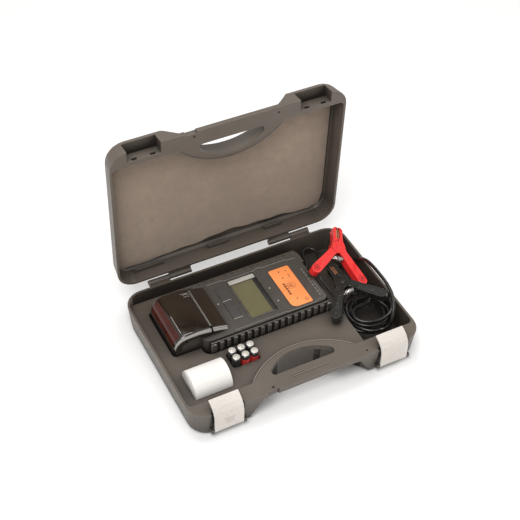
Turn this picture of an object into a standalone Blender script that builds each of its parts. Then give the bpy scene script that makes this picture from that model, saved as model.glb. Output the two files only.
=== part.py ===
"""Battery tester kit: a hand-held battery tester with a built-in printer, its clamps, leads, spare
cells and spare paper roll, in a moulded carry case with the lid open.

Sizes are written in millimetres and turned into metres when a mesh is made. The origin is the centre
of the case's underside, +X runs to the right along the hinges, +Y to the back and +Z up.
"""

import math

import bmesh
import bpy
from mathutils import Matrix, Vector

MM = 0.001
GAP = 0.3

# Carry case
CASE_W = 380.0
CASE_D = 266.6
BASE_H = 49.0
LID_H = 33.0
DRAFT = 3.9
CORNER_R = 30.0
EDGE_R = 8.0
WALL = 3.5
FLOOR = 3.0
RIM = BASE_H
SHOULDER_Y = -107.0
HINGE_Y = CASE_D / 2 + 8.5
LID_OPEN_DEG = 88.6

# Carrying handle, half of it in each shell
HANDLE_T = 9.5
LID_HANDLE_T = 8.5
GRIP_HALF_W = 52.0
GRIP_FRONT_Y = -107.5
GRIP_BACK_Y = -76.0
GRIP_END_Y = -97.0
BITE_R = 118.0
BITE_EDGE = 6.0
BITE_TOP_HALF_W = 80.0
BITE_END_HALF_W = 105.0
COLLAR_R = 115.0
COLLAR_Y = -68.0

# Latches
LATCH_X = 137.0
LATCH_W = 46.0
LATCH_SLOT_W = 52.0
LATCH_PIVOT = (-134.6, 15.0)
LATCH_PIN_R = 1.2

# Hinges: the base carries the outer knuckles and the lid the inner ones
KNUCKLE_R = 4.3
HINGE_PIN_R = 1.5
BASE_KNUCKLE = (107.0, 141.0)
LID_KNUCKLE = (69.0, 106.0)

# Insert tray
TRAY_TOP = 39.0
TRAY_WALL = 2.5
TRAY_RIGHT = 105.5
TRAY_BACK = 118.0

# Drafted walls, as levels of (inset from the inside outline at the rim, height), lowest first
BASE_LEVELS = ((5.9, FLOOR), (3.3, 8.0), (0.0, RIM), (0.0, RIM + 5))
LID_LEVELS = ((0.0, RIM - 5), (0.0, RIM), (3.0, RIM + 25.0), (5.6, RIM + LID_H - WALL))
TRAY_LEVELS = ((6.5, FLOOR + GAP), (3.9, 8.0), (1.4, TRAY_TOP))
TRAY_UNDER_LEVELS = ((9.0, FLOOR - 5), (9.0, FLOOR + GAP), (6.4, 8.0), (4.0, TRAY_TOP - TRAY_WALL))

# Tester
TESTER_LEFT = -118.0
TESTER_RIGHT = 92.0
TESTER_FRONT = -14.0
TESTER_BACK = 96.0
TESTER_BOTTOM = 9.0
TESTER_TOP = 57.0
CASE_SPLIT = 33.0
KEYS = (("key_back", 51.0, 79.0), ("key_front", 12.0, 45.0))
PRINTER_LEFT = -160.0
PRINTER_RIGHT = -72.0
PRINTER_FRONT = -2.0
PRINTER_BACK = 88.0
GRIP_T = 7.5
RIB_COUNT = 16
RIB_PITCH = 11.3
COVER_T = 2.5
COVER_END = -101.5
COVER_HINGE = (-157.6, 51.5)
EAR_R = 4.0

# Printer mechanism
ROLL_CENTRE = (-132.0, 45.5)
ROLL_R = 20.0
PLATEN = (-105.0, 56.0)
PLATEN_R = 4.5
GEAR_MODULE = 0.8
PLATEN_TEETH = 22
PINION_TEETH = 12
PINION_ANGLE_DEG = -50.0

# AA cells and the spare roll
CELL_R = 7.1
CELL_L = 50.5
CELL_COLUMNS = (-85.9, -71.05, -56.2)
CELL_ROWS = (-40.3, -54.7)
SPARE_R = 25.0
SPARE_X = (-167.0, -108.5)
SPARE_Y = -66.0

# Clamps, each in its own frame: +X along the jaws, +Z across the thickness, origin on the pivot
JAW_L = 40.0
HANDLE_END = (-53.0, -40.0)
HANDLE_R = 8.0
CLAMP_T = 12.0
PIVOT_R = 2.0
DISC_R = 11.5
MOVING_HALF = {"red": -1, "black": 1}

# Each clamp's pivot, the way its jaws point, and the way its flat side faces
RED_CLAMP = ((156.0, 72.0, RIM + 9.6), (0.455, 0.89, 0.15), (0.257, -0.292, 0.921))
BLACK_CLAMP = ((127.5, 3.5, RIM + 7.0), (0.03, 0.999, -0.02), (-0.17, 0.02, 0.985))

# Leads
BLACK_LEAD_D = 5.5
RED_LEAD_D = 4.0
COIL_CENTRE = (146.0, -44.0)
COIL_R = 36.0
COIL_CORE_R = 24.0
COIL_Z = (16.0, 38.0)

# The black lead from its gland: back along the tray, under the red clamp, round to the right in a
# loop that stands up over the side wall, and down to the coil
BLACK_LEAD = (
    (99.3, 80, 25.0),
    (103, 80.3, 25.2),
    (108, 82.6, 26.6),
    (112, 87.6, 28.6),
    (113.6, 98, 30.8),
    (115.5, 109, 31.8),
    (121.5, 117, 31.6),
    (130, 119, 30.4),
    (137.5, 114, 29),
    (140, 104, 27.8),
    (138, 93, 26.8),
    (136.5, 83, 26),
    (143, 73, 25.4),
    (155, 66.6, 26),
    (166.5, 60, 31),
    (175, 52, 42),
    (178.6, 40, 56),
    (179.4, 24, 67.5),
    (179.5, 4, 72.6),
    (179.6, -18, 73.2),
    (179.2, -40, 72.6),
    (176.5, -60, 69),
    (170, -76, 61),
    (163, -86, 49),
    (158, -89, 38),
    (152, -87, 30),
    (147, -83.4, 27),
)
BLACK_LEAD_TAIL = (
    (116.1, -36, 41.1),
    (116.1, -52, 41.1),
    (124.1, -65.9, 41.1),
    (138.0, -73.9, 41.1),
    (151.4, -75.5, 41.3),
    (163.0, -74.5, 43.5),
    (169.5, -72.5, 47.5),
    (173.8, -67.5, 53),
    (174.6, -62.5, 57.7),
    (173.4, -58.8, 60.4),
)
RED_LEAD = (
    (99.0, 64, 25.0),
    (102, 63.9, 24.6),
    (106.2, 62.4, 21.8),
    (110.5, 58, 17.4),
    (113.4, 51, 13.2),
    (116, 42, 9.8),
    (121, 20, 7),
    (128, 3, 9),
    (137, -5.0, 14),
    (146, -5.2, 20),
)
RED_LEAD_TAIL = (
    (122.0, -24, 40.6),
    (113.5, -8, 41.2),
    (109.5, 10, 43),
    (107.0, 28, 46),
    (105.0, 38, 50),
    (104.5, 41.5, 54.6),
)

PART = "battery_tester_kit"
CUTTERS = "cutters"


def start_scene():
    for found in list(bpy.data.objects):
        bpy.data.objects.remove(found, do_unlink=True)
    for name in (PART, CUTTERS):
        bpy.context.scene.collection.children.link(bpy.data.collections.new(name))


def material(name, colour, roughness, metallic=0.0):
    made = bpy.data.materials.get(name)
    if made is None:
        made = bpy.data.materials.new(name)
        made.use_nodes = True
        shader = made.node_tree.nodes["Principled BSDF"]
        shader.inputs["Base Color"].default_value = (*colour, 1.0)
        shader.inputs["Roughness"].default_value = roughness
        shader.inputs["Metallic"].default_value = metallic
    return made


CASE_PLASTIC = ("case_plastic", (0.115, 0.098, 0.082), 0.5)
TESTER_PLASTIC = ("tester_plastic", (0.062, 0.058, 0.054), 0.45)
RUBBER = ("grip_rubber", (0.05, 0.05, 0.05), 0.75)
LATCH_PLASTIC = ("latch_plastic", (0.72, 0.68, 0.63), 0.4)
FOAM = ("lining_foam", (0.26, 0.2, 0.155), 0.95)
STEEL = ("steel", (0.6, 0.6, 0.6), 0.3, 1.0)
COPPER = ("copper", (0.75, 0.36, 0.2), 0.35, 1.0)
RED_PLASTIC = ("red_plastic", (0.9, 0.06, 0.05), 0.35)
BLACK_PLASTIC = ("black_plastic", (0.04, 0.038, 0.035), 0.4)
CABLE = ("cable_sheath", (0.025, 0.024, 0.023), 0.45)
PAPER = ("paper", (0.88, 0.86, 0.84), 0.9)
SMOKED = ("smoked_cover", (0.035, 0.022, 0.016), 0.12)
GLASS = ("lcd_glass", (0.15, 0.14, 0.07), 0.2)
LABEL = ("orange_label", (0.95, 0.3, 0.08), 0.5)
BOARD = ("circuit_board", (0.02, 0.16, 0.06), 0.5)
CELL = ("cell_jacket", (0.03, 0.03, 0.03), 0.3)
GEAR = ("gear_plastic", (0.8, 0.78, 0.7), 0.5)


def finish(obj, look, cutter=False):
    """Puts a new object in its collection, with its material, or marks it as a cutter."""
    for collection in list(obj.users_collection):
        collection.objects.unlink(obj)
    bpy.data.collections[CUTTERS if cutter else PART].objects.link(obj)
    if cutter:
        obj.hide_render = True
        obj.display_type = "WIRE"
    else:
        obj.data.materials.clear()
        obj.data.materials.append(material(*look))
    return obj


def from_bmesh(name, bm, look=None):
    bmesh.ops.scale(bm, vec=Vector((MM, MM, MM)), verts=bm.verts)
    bmesh.ops.recalc_face_normals(bm, faces=bm.faces)
    mesh = bpy.data.meshes.new(name)
    bm.to_mesh(mesh)
    bm.free()
    obj = bpy.data.objects.new(name, mesh)
    bpy.context.scene.collection.objects.link(obj)
    return finish(obj, look, cutter=look is None)


def smooth(obj, angle_deg=35.0):
    """Shades the round faces of an object's mesh smooth."""
    obj.data.shade_smooth()
    obj.data.set_sharp_from_angle(angle=math.radians(angle_deg))
    return obj


def block(name, low, high, look=None):
    bm = bmesh.new()
    bmesh.ops.create_cube(bm, size=1.0)
    size = Vector(high) - Vector(low)
    centre = (Vector(high) + Vector(low)) / 2
    bmesh.ops.scale(bm, vec=size, verts=bm.verts)
    bmesh.ops.translate(bm, vec=centre, verts=bm.verts)
    return from_bmesh(name, bm, look)


def cylinder(name, radius, start, end, look=None, sides=24):
    """A cylinder from one point to another."""
    axis = Vector(end) - Vector(start)
    turn = Vector((0, 0, 1)).rotation_difference(axis.normalized()).to_matrix().to_4x4()
    place = Matrix.Translation((Vector(end) + Vector(start)) / 2) @ turn
    bm = bmesh.new()
    bmesh.ops.create_cone(
        bm, cap_ends=True, segments=sides, radius1=radius, radius2=radius, depth=axis.length, matrix=place
    )
    obj = from_bmesh(name, bm, look)
    return smooth(obj)


def tapered_case(name, height, look):
    """The outside of a case shell: a block with draft, big upright corners and a rounded edge round its
    closed face at z = 0. Its mouth is at z = height."""
    bm = bmesh.new()
    bmesh.ops.create_cube(bm, size=1.0)
    for v in bm.verts:
        low = v.co.z < 0
        inset = DRAFT if low else 0.0
        v.co.x = math.copysign(CASE_W / 2 - inset, v.co.x)
        v.co.y = math.copysign(CASE_D / 2 - inset, v.co.y)
        v.co.z = 0.0 if low else height
    upright = [e for e in bm.edges if abs(e.verts[0].co.z - e.verts[1].co.z) > 1.0]
    bmesh.ops.bevel(bm, geom=upright, offset=CORNER_R, segments=6, profile=0.5, affect="EDGES")
    bottom = [e for e in bm.edges if all(v.co.z < 0.01 for v in e.verts)]
    bmesh.ops.bevel(bm, geom=bottom, offset=EDGE_R, segments=3, profile=0.5, affect="EDGES")
    return from_bmesh(name, bm, look)


def arc(centre, radius, start_deg, end_deg, steps):
    """Points along an arc, both ends included."""
    turns = [math.radians(start_deg + (end_deg - start_deg) * i / steps) for i in range(steps + 1)]
    return [(centre[0] + radius * math.cos(t), centre[1] + radius * math.sin(t)) for t in turns]


def rounded(corners, radius, steps=4):
    """A closed outline with its corners rounded. radius is one number, or one for each corner."""
    radii = radius if isinstance(radius, (list, tuple)) else [radius] * len(corners)
    points = []
    for i, corner in enumerate(corners):
        at = Vector(corner)
        before = Vector(corners[i - 1]) - at
        after = Vector(corners[(i + 1) % len(corners)]) - at
        half = before.angle(after) / 2
        if radii[i] == 0:
            points.append(tuple(at))
            continue
        reach = radii[i] / math.tan(half)
        start = at + before.normalized() * reach
        end = at + after.normalized() * reach
        centre = at + (before.normalized() + after.normalized()).normalized() * radii[i] / math.sin(half)
        first, last = start - centre, end - centre
        for k in range(steps + 1):
            swing = first.angle_signed(last) * -k / steps
            turned = Matrix.Rotation(swing, 2) @ first
            points.append(tuple(centre + turned))
    return points


def box_outline(x0, y0, x1, y1, radius, steps=4):
    return rounded([(x0, y0), (x1, y0), (x1, y1), (x0, y1)], radius, steps)


def prism(name, outline, low, high, look=None, axis="Z"):
    """A flat outline pushed out from low to high along an axis. The outline's two numbers are x, y for
    Z, x, z for Y, and y, z for X."""
    curve = bpy.data.curves.new(name, "CURVE")
    curve.dimensions = "2D"
    curve.fill_mode = "BOTH"
    curve.extrude = (high - low) / 2 * MM
    spline = curve.splines.new("POLY")
    spline.points.add(len(outline) - 1)
    for point, (u, v) in zip(spline.points, outline):
        point.co = (u * MM, v * MM, 0.0, 1.0)
    spline.use_cyclic_u = True
    turn = {
        "Z": Matrix.Identity(4),
        "Y": Matrix.Rotation(math.radians(90), 4, "X"),
        "X": Matrix.Rotation(math.radians(90), 4, "Z") @ Matrix.Rotation(math.radians(90), 4, "X"),
    }[axis]
    along = {"Z": (0, 0, 1), "Y": (0, 1, 0), "X": (1, 0, 0)}[axis]
    place = Matrix.Translation(Vector(along) * (low + high) / 2 * MM) @ turn
    return mesh_of_curve(name, curve, place, look)


def loft(name, levels, look=None):
    """A solid through outlines of equal point count, each given with its height, lowest first."""
    bm = bmesh.new()
    rings = [[bm.verts.new((x, y, z)) for x, y in outline] for outline, z in levels]
    count = len(rings[0])
    for lower, upper in zip(rings, rings[1:]):
        for i in range(count):
            k = (i + 1) % count
            bm.faces.new((lower[i], lower[k], upper[k], upper[i]))
    bmesh.ops.triangulate(bm, faces=bm.faces[:])
    bm.faces.new(rings[0][::-1])
    bm.faces.new(rings[-1])
    return smooth(from_bmesh(name, bm, look), 20.0)


def mesh_of_curve(name, curve, place, look):
    """Makes a curve a closed mesh with its caps welded, in world space."""
    holder = bpy.data.objects.new(name + "_curve", curve)
    bpy.context.scene.collection.objects.link(holder)
    evaluated = holder.evaluated_get(bpy.context.evaluated_depsgraph_get())
    mesh = bpy.data.meshes.new_from_object(evaluated)
    bpy.data.objects.remove(holder, do_unlink=True)
    bm = bmesh.new()
    bm.from_mesh(mesh)
    bmesh.ops.remove_doubles(bm, verts=bm.verts, dist=1e-6)
    bmesh.ops.recalc_face_normals(bm, faces=bm.faces)
    bmesh.ops.dissolve_limit(bm, angle_limit=1e-4, verts=bm.verts, edges=bm.edges)
    bm.to_mesh(mesh)
    bm.free()
    mesh.transform(place)
    mesh.name = name
    obj = bpy.data.objects.new(name, mesh)
    bpy.context.scene.collection.objects.link(obj)
    return smooth(finish(obj, look, cutter=look is None), 20.0)


def turned(name, profile, start, axis, look=None, steps=24):
    """A turned solid: a profile of (radius, height) that runs down its outer side, swept round axis."""
    bm = bmesh.new()
    points = [bm.verts.new((r * MM, 0.0, h * MM)) for r, h in profile]
    closed = profile[0][0] > 0
    for i in range(len(points) - (0 if closed else 1)):
        bm.edges.new((points[i], points[(i + 1) % len(points)]))
    mesh = bpy.data.meshes.new(name)
    bm.to_mesh(mesh)
    bm.free()
    obj = bpy.data.objects.new(name, mesh)
    bpy.context.scene.collection.objects.link(obj)
    screw = obj.modifiers.new("Turn", "SCREW")
    screw.axis = "Z"
    screw.steps = screw.render_steps = steps
    screw.use_merge_vertices = True
    screw.merge_threshold = 1e-6
    screw.use_smooth_shade = True
    turn = Vector((0, 0, 1)).rotation_difference(Vector(axis).normalized())
    obj.matrix_world = Matrix.Translation(Vector(start) * MM) @ turn.to_matrix().to_4x4()
    return finish(obj, look, cutter=look is None)


def ring(name, radius, core, start, length, axis, look=None, steps=24):
    """A turned ring: a tube with a square section."""
    return turned(
        name, [(radius, length), (radius, 0), (core, 0), (core, length)], start, axis, look, steps
    )


def smooth_route(points, spacing):
    """Evenly spaced points along a smooth curve through the given ones (Catmull-Rom)."""
    stops = [Vector(p) for p in points]
    stops = [stops[0] * 2 - stops[1]] + stops + [stops[-1] * 2 - stops[-2]]
    fine = []
    for i in range(1, len(stops) - 2):
        a, b, c, d = stops[i - 1 : i + 3]
        for k in range(20):
            t = k / 20
            bend = (2 * a - 5 * b + 4 * c - d) * t**2 + (3 * b - a - 3 * c + d) * t**3
            fine.append(0.5 * (2 * b + (c - a) * t + bend))
    fine.append(stops[-2])
    run = [0.0]
    for p, q in zip(fine, fine[1:]):
        run.append(run[-1] + (q - p).length)
    count = max(2, round(run[-1] / spacing))
    even, k = [], 0
    for i in range(count + 1):
        want = run[-1] * i / count
        while k < len(run) - 2 and run[k + 1] < want:
            k += 1
        even.append(fine[k].lerp(fine[k + 1], (want - run[k]) / max(run[k + 1] - run[k], 1e-9)))
    return even


def tube(name, points, diameter, look):
    """A cord: a round tube along a smooth route through the points."""
    curve = bpy.data.curves.new(name, "CURVE")
    curve.dimensions = "3D"
    curve.bevel_depth = diameter / 2 * MM
    curve.bevel_resolution = 2
    curve.use_fill_caps = True
    route = smooth_route(points, 2.6 * diameter)
    spline = curve.splines.new("POLY")
    spline.points.add(len(route) - 1)
    for point, place in zip(spline.points, route):
        point.co = (*(place * MM), 1.0)
    obj = bpy.data.objects.new(name, curve)
    bpy.context.scene.collection.objects.link(obj)
    return finish(obj, look)


def change(target, how, *tools):
    """Cuts, joins or trims a piece with others. A tool ends up in the cutters' collection."""
    for tool in tools:
        finish(tool, None, cutter=True)
        step = target.modifiers.new(tool.name, "BOOLEAN")
        step.operation = how
        step.object = tool
    return target


def cut(target, *tools):
    return change(target, "DIFFERENCE", *tools)


def join(target, *tools):
    return change(target, "UNION", *tools)


def keep(target, *tools):
    return change(target, "INTERSECT", *tools)


def pivot(name, at, turn=None):
    """An empty on a joint's axis."""
    empty = bpy.data.objects.new(name, None)
    empty.empty_display_size = 0.01
    bpy.data.collections[PART].objects.link(empty)
    empty.matrix_world = Matrix.Translation(Vector(at) * MM) @ (turn or Matrix.Identity(4))
    return empty


def hang(empty, at, *pieces):
    """Parents pieces, and the tools that shape them, to an empty, as modelled before it was turned."""
    back = Matrix.Translation(-Vector(at) * MM)
    for piece in pieces:
        own = piece.matrix_basis.copy()
        tools = [m.object for m in piece.modifiers if m.type == "BOOLEAN" and m.object.parent is None]
        piece.parent = empty
        piece.matrix_parent_inverse = back
        piece.matrix_basis = own
        hang(empty, at, *tools)


def chord_arc(half_width, end_y, apex_y, steps):
    """An arc through (-half_width, end_y), (0, apex_y) and (half_width, end_y), left to right."""
    rise = apex_y - end_y
    radius = (half_width**2 + rise**2) / (2 * rise)
    half = math.degrees(math.asin(half_width / radius))
    return arc((0, apex_y - radius), radius, 90 + half, 90 - half, steps)


def case_hollow_outline(inset, right=None):
    """The inside of the case in plan: straight sides, and a front edge that curves round the handle."""
    x = CASE_W / 2 - WALL - inset
    y = CASE_D / 2 - WALL - inset
    right = x if right is None else right
    radius = COLLAR_R + inset
    centre_y = COLLAR_Y - COLLAR_R
    front = SHOULDER_Y + inset
    half = math.degrees(math.acos((front - centre_y) / radius))
    collar = arc((0, centre_y), radius, 90 + half, 90 - half, 12)
    corner = CORNER_R - WALL - inset
    left_front = arc((-x + 8, front + 8), 8, 180, 270, 3)
    right_front = arc((right - 8, front + 8), 8, 270, 360, 3)
    right_back = arc((right - corner, y - corner), corner, 0, 90, 5)
    left_back = arc((-x + corner, y - corner), corner, 90, 180, 5)
    return left_front + collar + right_front + right_back + left_back


def case_hollow(name, levels, right=None):
    """A drafted solid with the case's inside outline, at levels of (inset, height), lowest first."""
    return loft(name, [(case_hollow_outline(inset, right), z) for inset, z in levels])


def handle_bite(name, outside, inside):
    """What is missing behind a shell's half of the handle: a curved bay with slanted ends, from the
    handle (inside) to the shell's closed face (outside), where its edge is chamfered."""
    out = math.copysign(1.0, outside - inside)
    levels = [(inside, BITE_R), (outside - out * BITE_EDGE, BITE_R), (outside + out, BITE_R + BITE_EDGE + 1)]
    centre = (0, GRIP_BACK_Y - BITE_R)
    bay = loft(name, [(arc(centre, r, 0, 355, 71), z) for z, r in sorted(levels)])
    slope = (BITE_END_HALF_W - BITE_TOP_HALF_W) / abs(outside - inside)
    far_half = BITE_END_HALF_W + slope * 5
    far = outside + out * 5
    ends = [(-BITE_TOP_HALF_W, inside), (BITE_TOP_HALF_W, inside), (far_half, far), (-far_half, far)]
    return keep(bay, prism(name + "_ends", ends, -160, GRIP_BACK_Y + 20, axis="Y"))


def finger_hole(name, low, high):
    outline = [(-GRIP_HALF_W, GRIP_FRONT_Y), (GRIP_HALF_W, GRIP_FRONT_Y)]
    outline += chord_arc(GRIP_HALF_W, GRIP_END_Y, GRIP_BACK_Y, 12)[::-1]
    radii = [5, 5] + [0] * (len(outline) - 2)
    return prism(name, rounded(outline, radii, 3), low, high)


def knuckle(name, side, span, low, high):
    """One hinge knuckle with the web that joins it to its shell's back wall."""
    x0, x1 = sorted((side * span[0], side * span[1]))
    barrel = cylinder(name, KNUCKLE_R, (x0, HINGE_Y, RIM), (x1, HINGE_Y, RIM), sides=16)
    web = block(name + "_web", (x0, CASE_D / 2 - 2.5, low), (x1, HINGE_Y, high))
    return join(barrel, web)


def hinge_hole(name, side):
    x0, x1 = sorted((side * (LID_KNUCKLE[0] - 5), side * (BASE_KNUCKLE[1] + 5)))
    return cylinder(name, HINGE_PIN_R + GAP, (x0, HINGE_Y, RIM), (x1, HINGE_Y, RIM), sides=12)


def build_base():
    base = tapered_case("case_base", BASE_H, CASE_PLASTIC)
    cut(base, case_hollow("base_hollow", BASE_LEVELS))
    cut(base, handle_bite("base_bite", 0.0, RIM - HANDLE_T))
    cut(base, finger_hole("base_finger_hole", RIM - HANDLE_T - 5, RIM + 5))
    cut(base, block("base_lip_notch", (-73, -140, RIM - HANDLE_T - 1), (-55.5, -130.5, RIM + 5)))
    for side, word in ((-1, "left"), (1, "right")):
        x = side * LATCH_X
        half = LATCH_SLOT_W / 2
        x0, x1 = sorted((side * 110.0, side * 178.0))
        radii = [3, 17, 3, 3] if side > 0 else [17, 3, 3, 3]
        nook = box_outline(x0, -123.5, x1, -100, radii, 3)
        cut(base, prism(f"base_shoulder_{word}", nook, FLOOR + 5, RIM - WALL))
        cut(base, block(f"base_latch_recess_{word}", (x - half, -150, 7), (x + half, -127.5, RIM + 5)))
        hole_ends = (x - half - 5, *LATCH_PIVOT), (x + half + 5, *LATCH_PIVOT)
        join(base, knuckle(f"base_knuckle_{word}", side, BASE_KNUCKLE, RIM - KNUCKLE_R, RIM))
        cut(base, hinge_hole(f"base_hinge_hole_{word}", side))
        cheeks = []
        for end, near in ((-1, "a"), (1, "b")):
            c0, c1 = sorted((x + end * (half - 3.0), x + end * (half + 2.0)))
            cheeks.append(block(f"base_cheek_{word}_{near}", (c0, -137.5, 11.4), (c1, -125, 18.6)))
        join(base, *cheeks)
        cut(base, cylinder(f"base_latch_hole_{word}", LATCH_PIN_R + GAP, *hole_ends, sides=12))
    cut(base, cylinder("base_peg_hole", 1.6, (95, -125, RIM - 6), (95, -125, RIM + 5), sides=12))


def build_lid():
    """The lid is modelled shut, over the base, and hung on the hinge empty that holds it open."""
    shell = tapered_case("case_lid", LID_H, CASE_PLASTIC)
    shell.data.transform(Matrix.Diagonal((1, 1, -1, 1)))
    shell.data.flip_normals()
    top = RIM + LID_H
    mouth = RIM + GAP
    shell.data.transform(Matrix.Translation((0, 0, top * MM)))
    cut(shell, block("lid_mouth_trim", (-250, -200, RIM - 10), (250, 200, mouth)))
    cut(shell, case_hollow("lid_hollow", LID_LEVELS))
    cut(shell, handle_bite("lid_bite", top, RIM + LID_HANDLE_T))
    cut(shell, finger_hole("lid_finger_hole", RIM - 5, RIM + HANDLE_T + 5))
    cut(shell, block("lid_lip_notch", (-73, -140, RIM - 5), (-55.5, -130.5, RIM + HANDLE_T + 1)))
    for side, word in ((-1, "left"), (1, "right")):
        x = side * LATCH_X
        half = LATCH_SLOT_W / 2
        pocket = block(f"lid_latch_pocket_{word}", (x - half, -150, RIM - 5), (x + half, -114.9, RIM + 17))
        slot = block(f"lid_latch_slot_{word}", (x - half, -150, RIM + 16.5), (x + half, -108.5, RIM + 22))
        cut(shell, pocket, slot)
        for n, middle in enumerate((x - 14, x + 14)):
            low, high = (middle - 4, -116, RIM + 1), (middle + 4, -110.5, RIM + 6)
            cut(shell, block(f"lid_latch_notch_{word}_{n}", low, high))
        join(shell, knuckle(f"lid_knuckle_{word}", side, LID_KNUCKLE, mouth, RIM + KNUCKLE_R))
        cut(shell, hinge_hole(f"lid_hinge_hole_{word}", side))
    cut(shell, cylinder("lid_peg_hole", 1.6, (75, -124, RIM - 5), (75, -124, RIM + 6), sides=12))
    face = top - WALL - GAP
    lining = prism("lid_lining", case_hollow_outline(6.0), face - 2.0, face, FOAM)
    at = (0, HINGE_Y, RIM)
    hinge = pivot("lid_hinge", at, Matrix.Rotation(math.radians(-LID_OPEN_DEG), 4, "X"))
    hang(hinge, at, shell, lining)


def build_hinge_pins():
    for side, word in ((-1, "left"), (1, "right")):
        x0, x1 = sorted((side * (LID_KNUCKLE[0] + 1), side * (BASE_KNUCKLE[1] - 1)))
        cylinder(f"hinge_pin_{word}", HINGE_PIN_R, (x0, HINGE_Y, RIM), (x1, HINGE_Y, RIM), STEEL, 12)


def latch_outline():
    """The plate's side view, y and z: upright from its pivot, then curling in over the rim."""
    y, z = LATCH_PIVOT
    outer = [(y - 3.2, z), (y - 3.4, z + 15), (y - 3.0, z + 26)]
    outer += [(y - 0.6, z + 35), (y + 5.0, z + 41.5), (y + 12.5, z + 45.6), (y + 18.5, z + 47.3)]
    inner = [(y + 18.9, z + 45.0), (y + 13.2, z + 43.0), (y + 6.4, z + 39.2), (y + 1.6, z + 33.7)]
    inner += [(y - 0.6, z + 25.6), (y - 1.0, z + 15), (y - 0.8, z + 3.1)]
    knuckle_arc = arc((y, z), 3.2, 75, -180, 8)
    return outer + inner + knuckle_arc


def build_latches():
    for side, word in ((-1, "left"), (1, "right")):
        x = side * LATCH_X
        at = (x, *LATCH_PIVOT)
        plate = prism(
            f"latch_{word}", latch_outline(), x - LATCH_W / 2, x + LATCH_W / 2, LATCH_PLASTIC, axis="X"
        )
        ends = (x - LATCH_W / 2 - 5, *LATCH_PIVOT), (x + LATCH_W / 2 + 5, *LATCH_PIVOT)
        cut(plate, cylinder(f"latch_hole_{word}", LATCH_PIN_R + GAP, *ends, sides=12))
        hang(pivot(f"latch_{word}_hinge", at), at, plate)
        half = LATCH_SLOT_W / 2 + 1.5
        cylinder(
            f"latch_pin_{word}", LATCH_PIN_R, (x - half, *LATCH_PIVOT), (x + half, *LATCH_PIVOT), STEEL, 12
        )


def tester_outline(grow=0.0):
    """The tester's body in plan, without its grips."""
    x0, x1 = TESTER_LEFT - grow, TESTER_RIGHT + grow
    y0, y1 = TESTER_FRONT - grow, TESTER_BACK + grow
    return box_outline(x0, y0, x1, y1, [14 + grow, 10 + grow, 10 + grow, 14 + grow], 3)


def printer_top(drop=0.0):
    """The printer's top in side view, x and z, from its hinge end to the keys, lowered by drop."""
    left = PRINTER_LEFT - 2.0 + drop
    return [
        (left, 47.0),
        (left + 1.2, 55.5 - drop * 0.2),
        (left + 5.2, 64.5 - drop * 0.55),
        (left + 11.5, 70.0 - drop * 0.9),
        (-140.0, 72.4 - drop),
        (-122.0, 72.8 - drop),
        (COVER_END, 69.4 - drop),
        (-86.0, 66.2 - drop),
        (PRINTER_RIGHT - 2.0, 62.4 - drop),
    ]


def build_insert():
    """A formed tray: a skin with pockets, open underneath."""
    outlines = [(case_hollow_outline(inset, TRAY_RIGHT), z) for inset, z in TRAY_LEVELS]
    tray = loft("insert_tray", outlines, CASE_PLASTIC)
    keep(tray, block("tray_back_trim", (-250, -250, -50), (250, TRAY_BACK, 100)))
    pockets, walls = [], []
    for grow, low, kept in ((0.0, 0.0, pockets), (TRAY_WALL, -TRAY_WALL, walls)):
        word = "wall" if kept is walls else "pocket"
        body = box_outline(-120 - grow, -24 - grow, 99 + grow, 106 + grow, 12 + grow)
        kept.append(prism(f"tester_{word}", body, TESTER_BOTTOM - GAP + low, TRAY_TOP + 5))
        printer = box_outline(-164.5 - grow, -6 - grow, -110, 92 + grow, 6)
        kept.append(prism(f"printer_{word}", printer, TESTER_BOTTOM - GAP + low, TRAY_TOP + 5))
        cells = box_outline(
            CELL_COLUMNS[0] - CELL_R - 0.8 - grow,
            CELL_ROWS[1] - CELL_R - 0.8 - grow,
            CELL_COLUMNS[-1] + CELL_R + 0.8 + grow,
            CELL_ROWS[0] + CELL_R + 0.8 + grow,
            4 + grow,
            3,
        )
        kept.append(prism(f"cell_{word}", cells, FLOOR - 5, TRAY_TOP + 5))
        trough = cylinder(
            f"roll_{word}",
            SPARE_R + 0.6 + grow,
            (SPARE_X[0] - 1.0 - grow, SPARE_Y, TRAY_TOP),
            (SPARE_X[1] + 1.0 + grow, SPARE_Y, TRAY_TOP),
            sides=32,
        )
        kept.append(trough)
    under = case_hollow("tray_underside", TRAY_UNDER_LEVELS, TRAY_RIGHT - TRAY_WALL)
    keep(under, block("tray_under_trim", (-250, -250, -50), (250, TRAY_BACK - TRAY_WALL, 100)))
    cut(under, *walls)
    cut(tray, *pockets, under)
    cut(tray, block("tray_lead_slot", (95, 56, 12), (TRAY_RIGHT + 5, 88, TRAY_TOP + 5)))


def build_lower_case():
    lower = prism("tester_lower_case", tester_outline(), TESTER_BOTTOM, CASE_SPLIT, TESTER_PLASTIC)
    printer = box_outline(PRINTER_LEFT, PRINTER_FRONT, -100, PRINTER_BACK, 5, 2)
    join(lower, prism("lower_printer", printer, TESTER_BOTTOM, CASE_SPLIT))
    hollow = prism("lower_hollow", tester_outline(-2.5), TESTER_BOTTOM + 2.5, CASE_SPLIT + 5)
    bay = box_outline(PRINTER_LEFT + 2.5, PRINTER_FRONT + 2.5, -100, PRINTER_BACK - 2.5, 3, 2)
    cut(lower, hollow, prism("lower_printer_hollow", bay, TESTER_BOTTOM + 2.5, CASE_SPLIT + 5))
    cut(lower, block("door_opening", (-70, 10, 0), (40, 70, 20)))
    ends = ((TESTER_RIGHT - 10, 80, 25), (TESTER_RIGHT + 10, 80, 25))
    cut(lower, cylinder("gland_hole_black", 3.6, *ends, sides=16))
    ends = ((TESTER_RIGHT - 10, 64, 25), (TESTER_RIGHT + 10, 64, 25))
    cut(lower, cylinder("gland_hole_red", 2.9, *ends, sides=16))


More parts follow.
